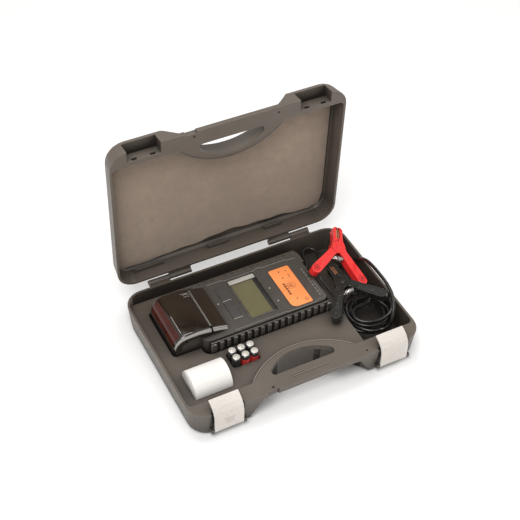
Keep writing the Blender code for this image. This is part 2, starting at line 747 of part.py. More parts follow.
def build_upper_case():
    upper = prism("tester_upper_case", tester_outline(), CASE_SPLIT + GAP, TESTER_TOP, TESTER_PLASTIC)
    under_cover = printer_top(COVER_T + GAP)
    profile = [(PRINTER_LEFT + 1.0, CASE_SPLIT + GAP)] + under_cover + [(PRINTER_RIGHT, 57.5)]
    profile += [(PRINTER_RIGHT, CASE_SPLIT + GAP)]
    profile[1] = (PRINTER_LEFT + 1.0, 45.0)
    join(upper, prism("upper_printer", profile, PRINTER_FRONT, PRINTER_BACK, axis="Y"))
    cut(upper, prism("upper_hollow", tester_outline(-2.5), CASE_SPLIT - 5, TESTER_TOP - 4.5))
    cut(upper, block("printer_bay", (PRINTER_LEFT + 3.5, 1.5, CASE_SPLIT - 5), (-100.0, 84.5, 80)))
    cut(upper, block("mechanism_bay", (-101.0, 1.5, CASE_SPLIT - 5), (-85.0, 84.5, 80)))
    hx, hz = COVER_HINGE
    hinge_ends = ((hx, -10, hz), (hx, 100, hz))
    cut(upper, cylinder("upper_hinge_clearance", 7.4, *hinge_ends, sides=24))
    for word, y0, y1 in (("front", PRINTER_FRONT + 0.2, 1.2), ("back", 84.8, PRINTER_BACK - 0.2)):
        ear = cylinder(f"hinge_ear_{word}", EAR_R, (hx, y0, hz), (hx, y1, hz), sides=20)
        web_low, web_high = (hx + 0.1, y0 + 0.2, hz - 3.0), (hx + 11, y1 - 0.2, hz + 1.2)
        join(ear, block(f"hinge_ear_web_{word}", web_low, web_high))
        join(upper, ear)
    cut(upper, cylinder("upper_pin_hole", 1.3, *hinge_ends, sides=12))
    cut(upper, block("lcd_recess", (-33, 0, TESTER_TOP - 2.2), (12, 86, TESTER_TOP + 5)))
    cut(upper, block("lcd_opening", (-31.3, 2.7, 40), (5.3, 76.3, TESTER_TOP + 5)))
    for word, y0, y1 in KEYS:
        cut(upper, block(f"{word}_opening", (-58.6, y0 - 0.6, 40), (-42.4, y1 + 0.6, TESTER_TOP + 5)))


def build_tester_fittings():
    block("lcd_window", (-31, 3, 52.8), (5, 76, 54.6), GLASS)
    block("lcd_module", (-36, -1, 43.5), (16, 84, 52.0), BOARD)
    corners = [(33, -9), (68, -9), (68, 76), (33, 76)]
    prism("front_label", rounded(corners, [10, 2, 3, 3]), TESTER_TOP + GAP, TESTER_TOP + 0.8, LABEL)
    block("main_board", (-70, -6, 38.0), (84, 86, 39.6), BOARD)
    holder = block("battery_holder", (-74, 5, TESTER_BOTTOM + 2.8), (46, 75, 30), TESTER_PLASTIC)
    cut(holder, block("holder_bay", (-72, 8, 0), (44, 72, 28)))
    block("battery_door", (-69.6, 10.4, TESTER_BOTTOM), (39.6, 69.6, TESTER_BOTTOM + 2.3), TESTER_PLASTIC)
    for word, y0, y1 in KEYS:
        key = block(word, (-58, y0, 48), (-43, y1, TESTER_TOP + 0.9), TESTER_PLASTIC)
        at = (-50.5, (y0 + y1) / 2, TESTER_TOP)
        hang(pivot(word + "_travel", at), at, key)
    for word, y, radius in (("black_lead_gland", 80, 3.3), ("red_lead_gland", 64, 2.6)):
        turned(
            word,
            [(0, 11), (radius - 0.4, 11), (radius, 1.4), (radius, 0), (0, 0)],
            (TESTER_RIGHT - 5, y, 25),
            (1, 0, 0),
            RUBBER,
            16,
        )


def build_grips():
    """The ribbed rubber strips along the tester's long sides."""
    first = -100.0
    for word, y0, y1, face in (
        ("side_grip_front", TESTER_FRONT - GAP - GRIP_T, TESTER_FRONT - GAP, -1),
        ("side_grip_back", TESTER_BACK + GAP, TESTER_BACK + GAP + GRIP_T, 1),
    ):
        corners = [(-104, y0), (90, y0), (94, y1), (-112, y1)]
        if face > 0:
            corners = [(-112, y0), (94, y0), (90, y1), (-104, y1)]
        grip = prism(word, corners, 12, 54, RUBBER)
        ribs = []
        for i in range(RIB_COUNT):
            x = first + i * RIB_PITCH
            low, high = (y0 - 5, y0 + 4) if face < 0 else (y1 - 4, y1 + 5)
            ribs.append(block(f"{word}_slot_{i}", (x, low, 30), (x + 5, high, 47)))
        cut(grip, *ribs)


def build_printer():
    outer = printer_top()
    inner = printer_top(COVER_T)
    last = [x for x, _ in outer].index(COVER_END)
    sheet = outer[: last + 1] + inner[: last + 1][::-1]
    hx, hz = COVER_HINGE
    cover = prism("printer_cover", sheet, PRINTER_FRONT - 2, PRINTER_BACK + 2, SMOKED, axis="Y")
    join(cover, cylinder("cover_barrel", 3.0, (hx, 4.0, hz), (hx, 82.0, hz), sides=16))
    cut(cover, cylinder("cover_hinge_hole", 1.3, (hx, -20, hz), (hx, 110, hz), sides=12))
    for word, y0, y1 in (("front", -20, 2.0), ("back", 84.0, 110)):
        cut(cover, cylinder(f"cover_ear_room_{word}", EAR_R + 0.6, (hx, y0, hz), (hx, y1, hz), sides=20))
    at = (hx, 43, hz)
    hang(pivot("cover_hinge", at), at, cover)
    cylinder("cover_hinge_pin", 1.0, (hx, -1.0, hz), (hx, 87.0, hz), STEEL, 12)
    shift = [(x + 3.0 if i == 0 else x, z) for i, (x, z) in enumerate(outer[last:])]
    under = [(x + 3.0 if i == 0 else x, z) for i, (x, z) in enumerate(inner[last:])]
    prism("printer_bezel", shift + under[::-1], PRINTER_FRONT - 2, PRINTER_BACK + 2, SMOKED, axis="Y")
    block("tear_bar", (-100.9, 4, 66.0), (-100.3, 82, 69.6), STEEL)
    ring("printer_paper_roll", ROLL_R, 6, (ROLL_CENTRE[0], 14, ROLL_CENTRE[1]), 58, (0, 1, 0), PAPER, 32)


def gear_outline(teeth, module, phase_deg, pressure_deg=25.0, backlash=0.12):
    """An involute spur gear with short teeth. backlash is what each tooth is thinned by."""
    pitch_r = teeth * module / 2
    base_r = pitch_r * math.cos(math.radians(pressure_deg))
    root_r = pitch_r - 1.05 * module
    tip_r = pitch_r + 0.8 * module
    involute = math.tan(math.radians(pressure_deg)) - math.radians(pressure_deg)
    half_pitch = (math.pi * module / 2 - backlash) / (2 * pitch_r)

    def half_angle(r):
        lean = math.acos(min(1.0, base_r / r))
        return half_pitch + involute - (math.tan(lean) - lean)

    flank = [max(root_r, base_r) + (tip_r - max(root_r, base_r)) * k / 2 for k in range(3)]
    points = []
    for i in range(teeth):
        mid = math.radians(phase_deg) + 2 * math.pi * i / teeth
        side = [(root_r, -half_angle(flank[0]))] + [(r, -half_angle(r)) for r in flank]
        if root_r >= base_r:
            side = side[1:]
        for r, swing in side + [(r, -a) for r, a in reversed(side)]:
            points.append((r * math.cos(mid + swing), r * math.sin(mid + swing)))
    return points


def build_mechanism():
    """The printer's frame, roller, head and drive. Axles run along Y."""
    px, pz = PLATEN
    reach = GEAR_MODULE * (PLATEN_TEETH + PINION_TEETH) / 2
    turn = math.radians(PINION_ANGLE_DEG)
    mx, mz = px + reach * math.cos(turn), pz + reach * math.sin(turn)
    frame = block("printer_frame", (-112, 7.5, 35.5), (-87, 76.5, 63), STEEL)
    cut(frame, block("frame_hollow", (-120, 9, 37), (-80, 75, 70)))
    cut(frame, cylinder("platen_holes", 1.8, (px, 0, pz), (px, 90, pz), sides=12))
    cut(frame, cylinder("pinion_hole", 1.8, (mx, 70, mz), (mx, 90, mz), sides=12))
    roller = cylinder("platen_roller", PLATEN_R, (px, 11, pz), (px, 73, pz), RUBBER)
    join(roller, cylinder("platen_shaft", 1.5, (px, 6, pz), (px, 81, pz), sides=12))
    gear = prism(
        "platen_gear", [(px + x, pz + y) for x, y in gear_outline(PLATEN_TEETH, GEAR_MODULE, 0.0)],
        77.2, 80.2, GEAR, axis="Y",
    )
    cut(gear, cylinder("gear_hole", 1.5 + GAP / 2, (px, 70, pz), (px, 90, pz), sides=12))
    meet = math.degrees(turn)
    tooth = 360.0 / PLATEN_TEETH
    into_gap = (meet % tooth) / tooth
    pinion_phase = meet + 180 + 360.0 / PINION_TEETH * (into_gap + 0.5)
    pinion = prism(
        "motor_pinion", [(mx + x, mz + y) for x, y in gear_outline(PINION_TEETH, GEAR_MODULE, pinion_phase)],
        77.2, 80.2, GEAR, axis="Y",
    )
    join(pinion, cylinder("motor_shaft", 1.0, (mx, 73.6, mz), (mx, 79, mz), sides=12))
    cylinder("printer_motor", 7.5, (mx, 56, mz), (mx, 73.2, mz), STEEL)
    block("thermal_head", (-100.1, 12, 56), (-98.4, 72, 64), BOARD)
    for word, centre, piece in (
        ("platen", (px, 43, pz), (roller, gear)),
        ("pinion", (mx, 43, mz), (pinion,)),
    ):
        hang(pivot(word + "_axle", centre), centre, *piece)


def clamp_half_outline(side):
    """One half of a clamp in its own frame. side is -1 for the half whose jaw lies at -Y."""
    across = math.degrees(math.atan2(HANDLE_END[0], -HANDLE_END[1]))
    points = [(JAW_L, -0.6), (JAW_L, -5.5), (JAW_L - 4, -8.5), (28, -8.0), (14, -8.5), (6, -11.5)]
    points += [(-4.8, -13.6)] + arc(HANDLE_END, HANDLE_R, across, across - 180, 5)
    points += [(-34, -17.6), (-23, -10.8), (-16, -6.6), (-12.9, -3.3), (0, -0.6)]
    points += [(18, -0.6), (18, -3.0), (38, -3.0), (38, -0.6)]
    return points if side < 0 else [(x, -y) for x, y in reversed(points)]


def build_clamp(word, look, at, jaws_along, up):
    """A spring clamp. Its fixed half and its moving half turn on one pin, one disc over the other."""
    x = Vector(jaws_along).normalized()
    z = (Vector(up) - Vector(up).dot(x) * x).normalized()
    turn = Matrix((x, z.cross(x), z)).transposed().to_4x4()
    half_t = CLAMP_T / 2
    moving_side = MOVING_HALF[word]
    made = []
    for kind, side, low, high in (
        ("fixed", -moving_side, -half_t, -2.8),
        ("moving", moving_side, 2.8, half_t),
    ):
        half = prism(f"{word}_clamp_{kind}_half", clamp_half_outline(side), -half_t, half_t, look)
        clear = (low - 10, 2.4) if kind == "moving" else (-2.4, high + 20)
        room = (0, 0, clear[0]), (0, 0, clear[1])
        cut(half, cylinder(f"{word}_{kind}_clear", DISC_R + 0.8, *room, sides=32))
        join(half, cylinder(f"{word}_{kind}_disc", DISC_R, (0, 0, low), (0, 0, high), sides=28))
        cut(half, cylinder(f"{word}_{kind}_hole", PIVOT_R + GAP, (0, 0, -20), (0, 0, 20), sides=12))
        y0, y1 = sorted((side * 0.6, side * 2.6))
        contact = block(f"{word}_clamp_{kind}_contact", (18.4, y0, -4), (37.6, y1, 4), COPPER)
        made += [half, contact]
    made.append(cylinder(f"{word}_clamp_pin", PIVOT_R, (0, 0, -half_t), (0, 0, half_t), STEEL, 12))
    made.append(ring(f"{word}_clamp_spring", 8.0, 2.6, (0, 0, -2.0), 4.0, (0, 0, 1), STEEL, 20))
    origin = (0, 0, 0)
    empty = pivot(f"{word}_clamp_pivot", at, turn)
    hang(empty, origin, *made)


def build_leads():
    tube("black_lead", BLACK_LEAD, BLACK_LEAD_D, CABLE)
    tube("black_lead_tail", BLACK_LEAD_TAIL, BLACK_LEAD_D, CABLE)
    tube("red_lead", RED_LEAD, RED_LEAD_D, CABLE)
    tube("red_lead_tail", RED_LEAD_TAIL, RED_LEAD_D, CABLE)
    centre = (*COIL_CENTRE, COIL_Z[0])
    ring("lead_coil", COIL_R, COIL_CORE_R, centre, COIL_Z[1] - COIL_Z[0], (0, 0, 1), CABLE, 32)


def build_cells():
    low = FLOOR + GAP
    number = 0
    for y in CELL_ROWS:
        for x in CELL_COLUMNS:
            number += 1
            profile = [(0, CELL_L), (2.6, CELL_L), (2.6, CELL_L - 1.2), (5.2, CELL_L - 1.2)]
            profile += [(CELL_R, CELL_L - 2.6), (CELL_R, 0.6), (CELL_R - 1, 0), (0, 0)]
            turned(f"battery_{number}", profile, (x, y, low), (0, 0, 1), CELL, 16)


def build_spare_roll():
    start = (SPARE_X[0], SPARE_Y, TRAY_TOP)
    ring("spare_paper_roll", SPARE_R, 8, start, SPARE_X[1] - SPARE_X[0], (1, 0, 0), PAPER, 36)


def main():
    start_scene()
    build_base()
    build_lid()
    build_hinge_pins()
    build_latches()
    build_insert()
    build_lower_case()
    build_upper_case()
    build_tester_fittings()
    build_grips()
    build_printer()
    build_mechanism()
    build_clamp("red", RED_PLASTIC, *RED_CLAMP)
    build_clamp("black", BLACK_PLASTIC, *BLACK_CLAMP)
    build_leads()
    build_cells()
    build_spare_roll()
    bpy.context.view_layer.update()


main()
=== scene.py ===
"""Looks for the battery tester kit: materials, leads, lining, fittings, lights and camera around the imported
CAD model. Sizes are written in millimetres in the CAD's frame and turned into metres where a mesh is made."""

import math

import bmesh
import bpy
from mathutils import Matrix, Vector


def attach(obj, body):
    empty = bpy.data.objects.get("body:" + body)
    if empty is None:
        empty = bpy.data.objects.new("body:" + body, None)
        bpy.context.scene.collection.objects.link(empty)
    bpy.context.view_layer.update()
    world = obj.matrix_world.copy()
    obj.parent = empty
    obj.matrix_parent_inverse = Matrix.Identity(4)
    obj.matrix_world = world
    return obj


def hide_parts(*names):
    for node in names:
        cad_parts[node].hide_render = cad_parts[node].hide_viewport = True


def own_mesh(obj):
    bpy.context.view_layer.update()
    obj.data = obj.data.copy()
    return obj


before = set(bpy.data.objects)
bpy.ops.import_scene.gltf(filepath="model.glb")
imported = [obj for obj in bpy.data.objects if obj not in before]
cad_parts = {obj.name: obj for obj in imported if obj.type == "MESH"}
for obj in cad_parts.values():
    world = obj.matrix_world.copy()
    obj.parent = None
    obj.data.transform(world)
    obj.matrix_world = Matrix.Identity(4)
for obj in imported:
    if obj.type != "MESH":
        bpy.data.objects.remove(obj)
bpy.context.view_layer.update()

MM = 0.001

# The base's rim, the shut lid's top, the hinge line and how far the lid stands open
RIM = 49.0
LID_TOP = RIM + 33.0
HINGE = Vector((0.0, 141.8, RIM))
LID_OPEN_DEG = 88.6
# How far each latch is from the middle, and the centre of the arcs along the handle's collar and the lining
LATCH_X = 137.0
COLLAR_CENTRE = (0, -183)

# Heights of the tester's face, label, underside and main board, and the screws in the underside
FACE = 57.0
LABEL_TOP = FACE + 0.8
UNDERSIDE = 9.0
BOARD_TOP = 39.5
SCREWS = ((-96, -8), (-96, 90), (84, -8), (84, 90), (-66, 4), (-66, 78))

# The camera: place in metres, azimuth, elevation and roll, lens in mm and its shift
CAMERA_AT = (-0.56913, -1.01346, 1.31828)
CAMERA_TURN_DEG = (28.398, 44.841, 1.795)
LENS = 78.32
LENS_SHIFT = (-0.00094, 0.00263)


# ---- camera


def make_camera():
    azimuth, elevation, roll = map(math.radians, CAMERA_TURN_DEG)
    flat = math.cos(elevation)
    forward = Vector((math.sin(azimuth) * flat, math.cos(azimuth) * flat, -math.sin(elevation)))
    level = Vector((math.cos(azimuth), -math.sin(azimuth), 0.0))
    upright = level.cross(forward)
    right = level * math.cos(roll) + upright * math.sin(roll)
    up = upright * math.cos(roll) - level * math.sin(roll)
    lens = bpy.data.cameras.new("camera")
    lens.sensor_width = 36.0
    lens.lens = LENS
    lens.shift_x, lens.shift_y = LENS_SHIFT
    lens.clip_start, lens.clip_end = 0.05, 50.0
    camera = bpy.data.objects.new("camera", lens)
    bpy.context.scene.collection.objects.link(camera)
    turn = Matrix((right, up, -forward)).transposed().to_4x4()
    camera.matrix_world = Matrix.Translation(CAMERA_AT) @ turn
    bpy.context.scene.camera = camera


# ---- material nodes


class Nodes:
    """Short calls for building one material's node tree."""

    def __init__(self, name):
        self.material = bpy.data.materials.new(name)
        self.material.use_nodes = True
        self.tree = self.material.node_tree
        self.shader = self.tree.nodes["Principled BSDF"]
        self.place = self.tree.nodes.new("ShaderNodeTexCoord").outputs["Object"]

    def link(self, out, into):
        self.tree.links.new(out, into)

    def set(self, **values):
        for name, value in values.items():
            socket = self.shader.inputs[name.replace("_", " ")]
            socket.default_value = value
        return self

    def noise(self, scale, detail=3.0, roughness=0.55, stretch=None):
        node = self.tree.nodes.new("ShaderNodeTexNoise")
        node.inputs["Scale"].default_value = scale
        node.inputs["Detail"].default_value = detail
        node.inputs["Roughness"].default_value = roughness
        self.link(self.stretched(stretch), node.inputs["Vector"])
        return node.outputs["Fac"]

    def stretched(self, stretch):
        if stretch is None:
            return self.place
        node = self.tree.nodes.new("ShaderNodeMapping")
        node.inputs["Scale"].default_value = stretch
        self.link(self.place, node.inputs["Vector"])
        return node.outputs["Vector"]

    def cells(self, scale, feature="F1"):
        node = self.tree.nodes.new("ShaderNodeTexVoronoi")
        node.feature = feature
        node.inputs["Scale"].default_value = scale
        self.link(self.place, node.inputs["Vector"])
        return node.outputs["Distance"]

    def waves(self, scale, direction):
        node = self.tree.nodes.new("ShaderNodeTexWave")
        node.bands_direction = direction
        node.inputs["Scale"].default_value = scale
        self.link(self.place, node.inputs["Vector"])
        return node.outputs["Fac"]

    def spread(self, value, low, high, to_low=0.0, to_high=1.0):
        """Stretches low..high of a value to a new range, and cuts off what lies outside."""
        node = self.tree.nodes.new("ShaderNodeMapRange")
        for name, number in zip(("From Min", "From Max", "To Min", "To Max"), (low, high, to_low, to_high)):
            node.inputs[name].default_value = number
        self.link(value, node.inputs["Value"])
        return node.outputs["Result"]

    def math(self, how, first, second):
        node = self.tree.nodes.new("ShaderNodeMath")
        node.operation = how
        for socket, value in zip(node.inputs, (first, second)):
            if isinstance(value, (int, float)):
                socket.default_value = value
            else:
                self.link(value, socket)
        return node.outputs["Value"]

    def mix(self, share, first, second):
        """A colour between two, by share."""
        node = self.tree.nodes.new("ShaderNodeMix")
        node.data_type = "RGBA"
        self.link(share, node.inputs["Factor"])
        for socket, colour in ((node.inputs[6], first), (node.inputs[7], second)):
            if isinstance(colour, tuple):
                socket.default_value = (*colour, 1.0)
            else:
                self.link(colour, socket)
        return node.outputs[2]

    def edges(self, radius):
        """1 on sharp outside and inside edges, 0 on flat faces."""
        soft = self.tree.nodes.new("ShaderNodeBevel")
        soft.samples = 4
        soft.inputs["Radius"].default_value = radius
        geometry = self.tree.nodes.new("ShaderNodeNewGeometry")
        dot = self.tree.nodes.new("ShaderNodeVectorMath")
        dot.operation = "DOT_PRODUCT"
        self.link(soft.outputs["Normal"], dot.inputs[0])
        self.link(geometry.outputs["Normal"], dot.inputs[1])
        return self.spread(dot.outputs["Value"], 0.99, 0.88)

    def painted_crevice_shade(self, distance, low=0.35, high=1.0):
        """Painted shade mask from ambient occlusion: 0 deep inside corners and wells, 1 on open faces."""
        node = self.tree.nodes.new("ShaderNodeAmbientOcclusion")
        node.samples = 8
        node.inputs["Distance"].default_value = distance
        return self.spread(node.outputs["AO"], low, high)

    def bump(self, height, depth):
        """Adds relief. depth is the height of the relief in metres."""
        node = self.tree.nodes.new("ShaderNodeBump")
        node.inputs["Strength"].default_value = 1.0
        node.inputs["Distance"].default_value = depth
        self.link(height, node.inputs["Height"])
        before = self.shader.inputs["Normal"].links
        if before:
            self.link(before[0].from_socket, node.inputs["Normal"])
        self.link(node.outputs["Normal"], self.shader.inputs["Normal"])
        return self

    def cloudy(self, scale, detail, first, second, high=0.7):
        """Colours the surface in soft patches of two colours."""
        return self.colour(self.mix(self.spread(self.noise(scale, detail), 0.3, high), first, second))

    def colour(self, socket):
        self.link(socket, self.shader.inputs["Base Color"])
        return self

    def rough(self, socket):
        self.link(socket, self.shader.inputs["Roughness"])
        return self


WORN = (0.5, 0.48, 0.45)


def shade(colour, factor):
    return tuple(min(1.0, c * factor) for c in colour)


def moulded(name, colour, rough=0.45, grain=0.00006, grain_scale=900.0, wear=0.0, worn=WORN, depth=0.0):
    """Moulded plastic: fine pebbled grain, faint cloudy colour, scuffs, pale worn edges and painted shade in
    corners.

    grain is the height of the pebbles in metres, and depth is how far from a wall the shade reaches.
    """
    n = Nodes(name)
    cloud = n.spread(n.noise(14.0, 4.0), 0.3, 0.7)
    base = n.mix(cloud, shade(colour, 0.9), shade(colour, 1.1))
    speck = n.spread(n.noise(grain_scale * 0.8, 2.0), 0.35, 0.75)
    base = n.mix(n.math("MULTIPLY", speck, 0.35), base, shade(colour, 1.35))
    if wear:
        patchy = n.spread(n.noise(160.0, 3.0), 0.35, 0.62)
        share = n.math("MULTIPLY", n.math("MULTIPLY", n.edges(0.0011), patchy), wear)
        base = n.mix(share, base, worn)
    # Painted shade: the colour darkens to a quarter in corners and wells, as far from a wall as depth
    # reaches.
    if depth:
        base = n.mix(n.painted_crevice_shade(depth), shade(colour, 0.25), base)
    n.colour(base)
    n.rough(n.spread(n.noise(60.0, 5.0, 0.65, (1.0, 1.0, 3.0)), 0.35, 0.75, rough - 0.07, rough + 0.1))
    n.bump(n.cells(grain_scale), grain)
    n.set(Specular_IOR_Level=0.45)
    return n.material


def metal(name, colour, rough=0.28, brush=(1.0, 1.0, 30.0)):
    n = Nodes(name)
    lines = n.noise(500.0, 3.0, 0.6, brush)
    stain = n.spread(n.noise(90.0, 4.0), 0.35, 0.7)
    n.colour(n.mix(stain, shade(colour, 0.82), shade(colour, 1.08)))
    n.rough(n.spread(lines, 0.3, 0.7, rough - 0.08, rough + 0.12))
    n.bump(lines, 0.00003)
    n.set(Metallic=1.0)
    return n.material


# Look: material name, colour, roughness, grain and its scale, edge wear and its colour, reach of the shade
PLASTICS = {
    "case": ("case_plastic", (0.11, 0.09, 0.072), 0.46, 0.00005, 1100.0, 0.45, (0.34, 0.3, 0.26), 0.05),
    "tray": ("tray_plastic", (0.104, 0.084, 0.066), 0.5, 0.00007, 800.0, 0.2, (0.3, 0.27, 0.24), 0.03),
    "tester": ("tester_plastic", (0.068, 0.059, 0.051), 0.4, 0.00005, 1300.0, 0.5, (0.36, 0.33, 0.29), 0.012),
    "key": ("key_plastic", (0.06, 0.056, 0.052), 0.45, 0.00004, 1400.0, 0.35, (0.32, 0.3, 0.27)),
    "rubber": ("grip_rubber", (0.06, 0.052, 0.045), 0.55, 0.00008, 700.0, 0.9, (0.45, 0.41, 0.36), 0.006),
    "latch": ("latch_plastic", (0.6, 0.56, 0.515), 0.34, 0.000006, 400.0),
    "red": ("red_plastic", (0.85, 0.03, 0.028), 0.28, 0.000012, 700.0, 0.4, (1.0, 0.28, 0.22), 0.008),
    "black": ("black_plastic", (0.016, 0.014, 0.012), 0.24, 0.00001, 700.0, 0.5, (0.16, 0.15, 0.14)),
    "gear": ("gear_plastic", (0.78, 0.76, 0.68), 0.45, 0.00002),
    "door": ("door_plastic", (0.062, 0.058, 0.054), 0.5, 0.00005, 1000.0, 0.2, (0.3, 0.28, 0.26)),
    "cap": ("cell_cap", (0.6, 0.57, 0.52), 0.34, 0.00001, 800.0),
    # Band: painted highlight along the rounded front edges of the printer shells.
    "band": ("bright_trim", (0.3, 0.285, 0.265), 0.2, 0.00001),
    # Red shade: painted shade of the recess at the red clamp's handle ends.
    "red_shade": ("red_recess", (0.3, 0.012, 0.012), 0.4, 0.00001, 700.0),
    # Grip mark: a grey on the latch's grip ridges that paints their light and shade.
    "mark": ("grip_mark", (0.47, 0.44, 0.41), 0.4, 0.00001),
    # Pale: lights, marks and strips on the tester and cover, and painted highlights on the keys' front edges.
    "pale": ("pale_trim", (0.42, 0.4, 0.36), 0.35, 0.00003, 1200.0),
    # Dark: marks on the flanges of base and lid, and painted shade in grooves, recesses, the paper slot,
    # screw heads and grip ribs.
    "dark": ("dark_recess", (0.02, 0.018, 0.016), 0.6, 0.00004),
    # Grey lines: scale marks and edge lines, and painted highlights along the bar grooves, the collar's ridge
    # and the face's step.
    "grey_line": ("grey_line", (0.26, 0.24, 0.215), 0.4, 0.00003, 1200.0),
}
# Look: material name, colour, roughness, and the way that the brush lines run
METALS = {
    "steel": ("steel", (0.62, 0.61, 0.6), 0.26),
    "spring": ("spring_steel", (0.8, 0.78, 0.74), 0.2),
    "copper": ("copper", (0.78, 0.38, 0.22), 0.32),
    "brass": ("brass_rivet", (0.6, 0.43, 0.2), 0.3),
    "motor": ("motor_can", (0.55, 0.55, 0.56), 0.3, (1.0, 30.0, 1.0)),
}


def cable_sheath():
    n = Nodes("cable_sheath")
    n.cloudy(40.0, 3.0, (0.008, 0.007, 0.006), (0.018, 0.016, 0.014))
    n.rough(n.spread(n.noise(120.0, 4.0), 0.3, 0.7, 0.2, 0.36))
    n.bump(n.noise(1500.0, 2.0), 0.00001)
    return n.material


def lining_foam():
    n = Nodes("lining_foam")
    fine = n.noise(900.0, 6.0, 0.75)
    blotch = n.spread(n.noise(16.0, 5.0, 0.6), 0.32, 0.7)
    base = n.mix(blotch, (0.225, 0.16, 0.113), (0.31, 0.226, 0.162))
    base = n.mix(n.spread(n.noise(60.0, 5.0, 0.7), 0.42, 0.75), base, (0.185, 0.142, 0.108))
    base = n.mix(n.spread(fine, 0.35, 0.75), base, (0.33, 0.262, 0.205))
    # Painted shade: the foam darkens in its hollows and near the lid's walls.
    n.colour(n.mix(n.painted_crevice_shade(0.03, 0.3, 0.85), (0.11, 0.082, 0.06), base))
    n.bump(fine, 0.0004)
    n.set(Roughness=0.95, Sheen_Weight=0.25, Sheen_Roughness=0.6, Specular_IOR_Level=0.15)
    return n.material


def paper():
    n = Nodes("paper")
    n.cloudy(30.0, 5.0, (0.78, 0.75, 0.71), (0.85, 0.825, 0.79))
    n.bump(n.noise(1800.0, 4.0, 0.7), 0.00004)
    n.set(Roughness=0.8, Specular_IOR_Level=0.2)
    return n.material


def paper_end():
    n = Nodes("paper_end")
    n.colour(n.mix(n.spread(n.noise(400.0, 6.0, 0.8), 0.35, 0.7), (0.62, 0.59, 0.55), (0.86, 0.84, 0.8)))
    n.bump(n.noise(1500.0, 4.0, 0.7), 0.0001)
    n.set(Roughness=0.9)
    return n.material


def smoked_cover():
    n = Nodes("smoked_cover")
    n.cloudy(10.0, 3.0, (0.013, 0.008, 0.005), (0.027, 0.018, 0.012))
    n.rough(n.spread(n.noise(80.0, 5.0, 0.7), 0.3, 0.8, 0.1, 0.24))
    n.bump(n.noise(350.0, 3.0), 0.00001)
    n.set(Coat_Weight=0.5, Coat_Roughness=0.05, Specular_IOR_Level=0.5)
    return n.material


def red_window():
    n = Nodes("red_window")
    n.cloudy(20.0, 3.0, (0.03, 0.005, 0.003), (0.085, 0.014, 0.007))
    n.rough(n.spread(n.noise(80.0, 5.0, 0.7), 0.3, 0.8, 0.14, 0.3))
    n.set(Coat_Weight=0.15, Coat_Roughness=0.1, Specular_IOR_Level=0.3)
    return n.material


def lcd_glass():
    n = Nodes("lcd_glass")
    columns, rows = (n.spread(n.waves(260.0, way), 0.2, 0.6) for way in "XY")
    base = n.mix(n.math("MULTIPLY", columns, rows), (0.13, 0.118, 0.06), (0.15, 0.137, 0.072))
    n.cloudy(25.0, 3.0, base, (0.155, 0.145, 0.08))
    n.rough(n.spread(n.noise(120.0, 4.0, 0.7), 0.3, 0.8, 0.12, 0.3))
    n.set(Coat_Weight=0.5, Coat_Roughness=0.04)
    return n.material


def orange_label():
    n = Nodes("orange_label")
    n.cloudy(22.0, 4.0, (0.9, 0.27, 0.075), (1.0, 0.36, 0.12))
    n.rough(n.spread(n.noise(300.0, 4.0), 0.3, 0.7, 0.38, 0.55))
    n.bump(n.noise(1400.0, 2.0), 0.00002)
    return n.material


def label_ink():
    n = Nodes("label_ink")
    n.cloudy(700.0, 4.0, (0.28, 0.075, 0.03), (0.09, 0.035, 0.02), 0.6)
    n.set(Roughness=0.5)
    return n.material


def board_green():
    n = Nodes("board_green")
    traces = n.cells(260.0, "DISTANCE_TO_EDGE")
    n.colour(n.mix(n.spread(traces, 0.04, 0.09), (0.05, 0.24, 0.09), (0.012, 0.1, 0.035)))
    n.bump(n.spread(traces, 0.04, 0.09, 1.0, 0.0), 0.00006)
    n.set(Roughness=0.35)
    return n.material


def cell_wrap(name, first, second, gloss, matt):
    n = Nodes(name)
    n.colour(n.mix(n.spread(n.noise(90.0, 3.0), 0.35, 0.7), first, second))
    n.rough(n.spread(n.noise(200.0, 4.0), 0.3, 0.7, gloss, matt))
    return n.material


def card_core():
    n = Nodes("card_core")
    n.colour(n.mix(n.spread(n.noise(260.0, 5.0, 0.7), 0.3, 0.7), (0.32, 0.22, 0.13), (0.46, 0.34, 0.22)))
    n.bump(n.noise(700.0, 4.0), 0.00005)
    n.set(Roughness=0.85)
    return n.material


def make_materials():
    made = {look: moulded(*values) for look, values in PLASTICS.items()}
    made.update({look: metal(*values) for look, values in METALS.items()})
    made["cap"].node_tree.nodes["Principled BSDF"].inputs["Metallic"].default_value = 0.35
    made["cable"] = cable_sheath()
    made["foam"] = lining_foam()
    made["paper"] = paper()
    made["paper_end"] = paper_end()
    made["smoked"] = smoked_cover()
    made["red_window"] = red_window()
    made["lcd"] = lcd_glass()
    made["label"] = orange_label()
    made["ink"] = label_ink()
    made["board"] = board_green()
    made["cell"] = cell_wrap("cell_black", (0.018, 0.017, 0.016), (0.04, 0.038, 0.035), 0.16, 0.32)
    made["cell_red"] = cell_wrap("cell_red", (0.5, 0.03, 0.03), (0.75, 0.08, 0.07), 0.2, 0.35)
    made["core"] = card_core()
    return made


# ---- shape helpers


def dress(node, look, width, segments):
    """Gives a CAD node its material and rounds its edges a little. width is in millimetres."""
    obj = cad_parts[node]
    obj.data.materials.clear()
    obj.data.materials.append(LOOKS[look])
    weld = obj.modifiers.new("Weld", "WELD")
    weld.merge_threshold = 1e-6
    if width:
        bevel = obj.modifiers.new("Bevel", "BEVEL")
        bevel.width = width * MM
        bevel.segments = segments
        bevel.limit_method = "ANGLE"
        bevel.angle_limit = math.radians(32.0)
        bevel.use_clamp_overlap = True


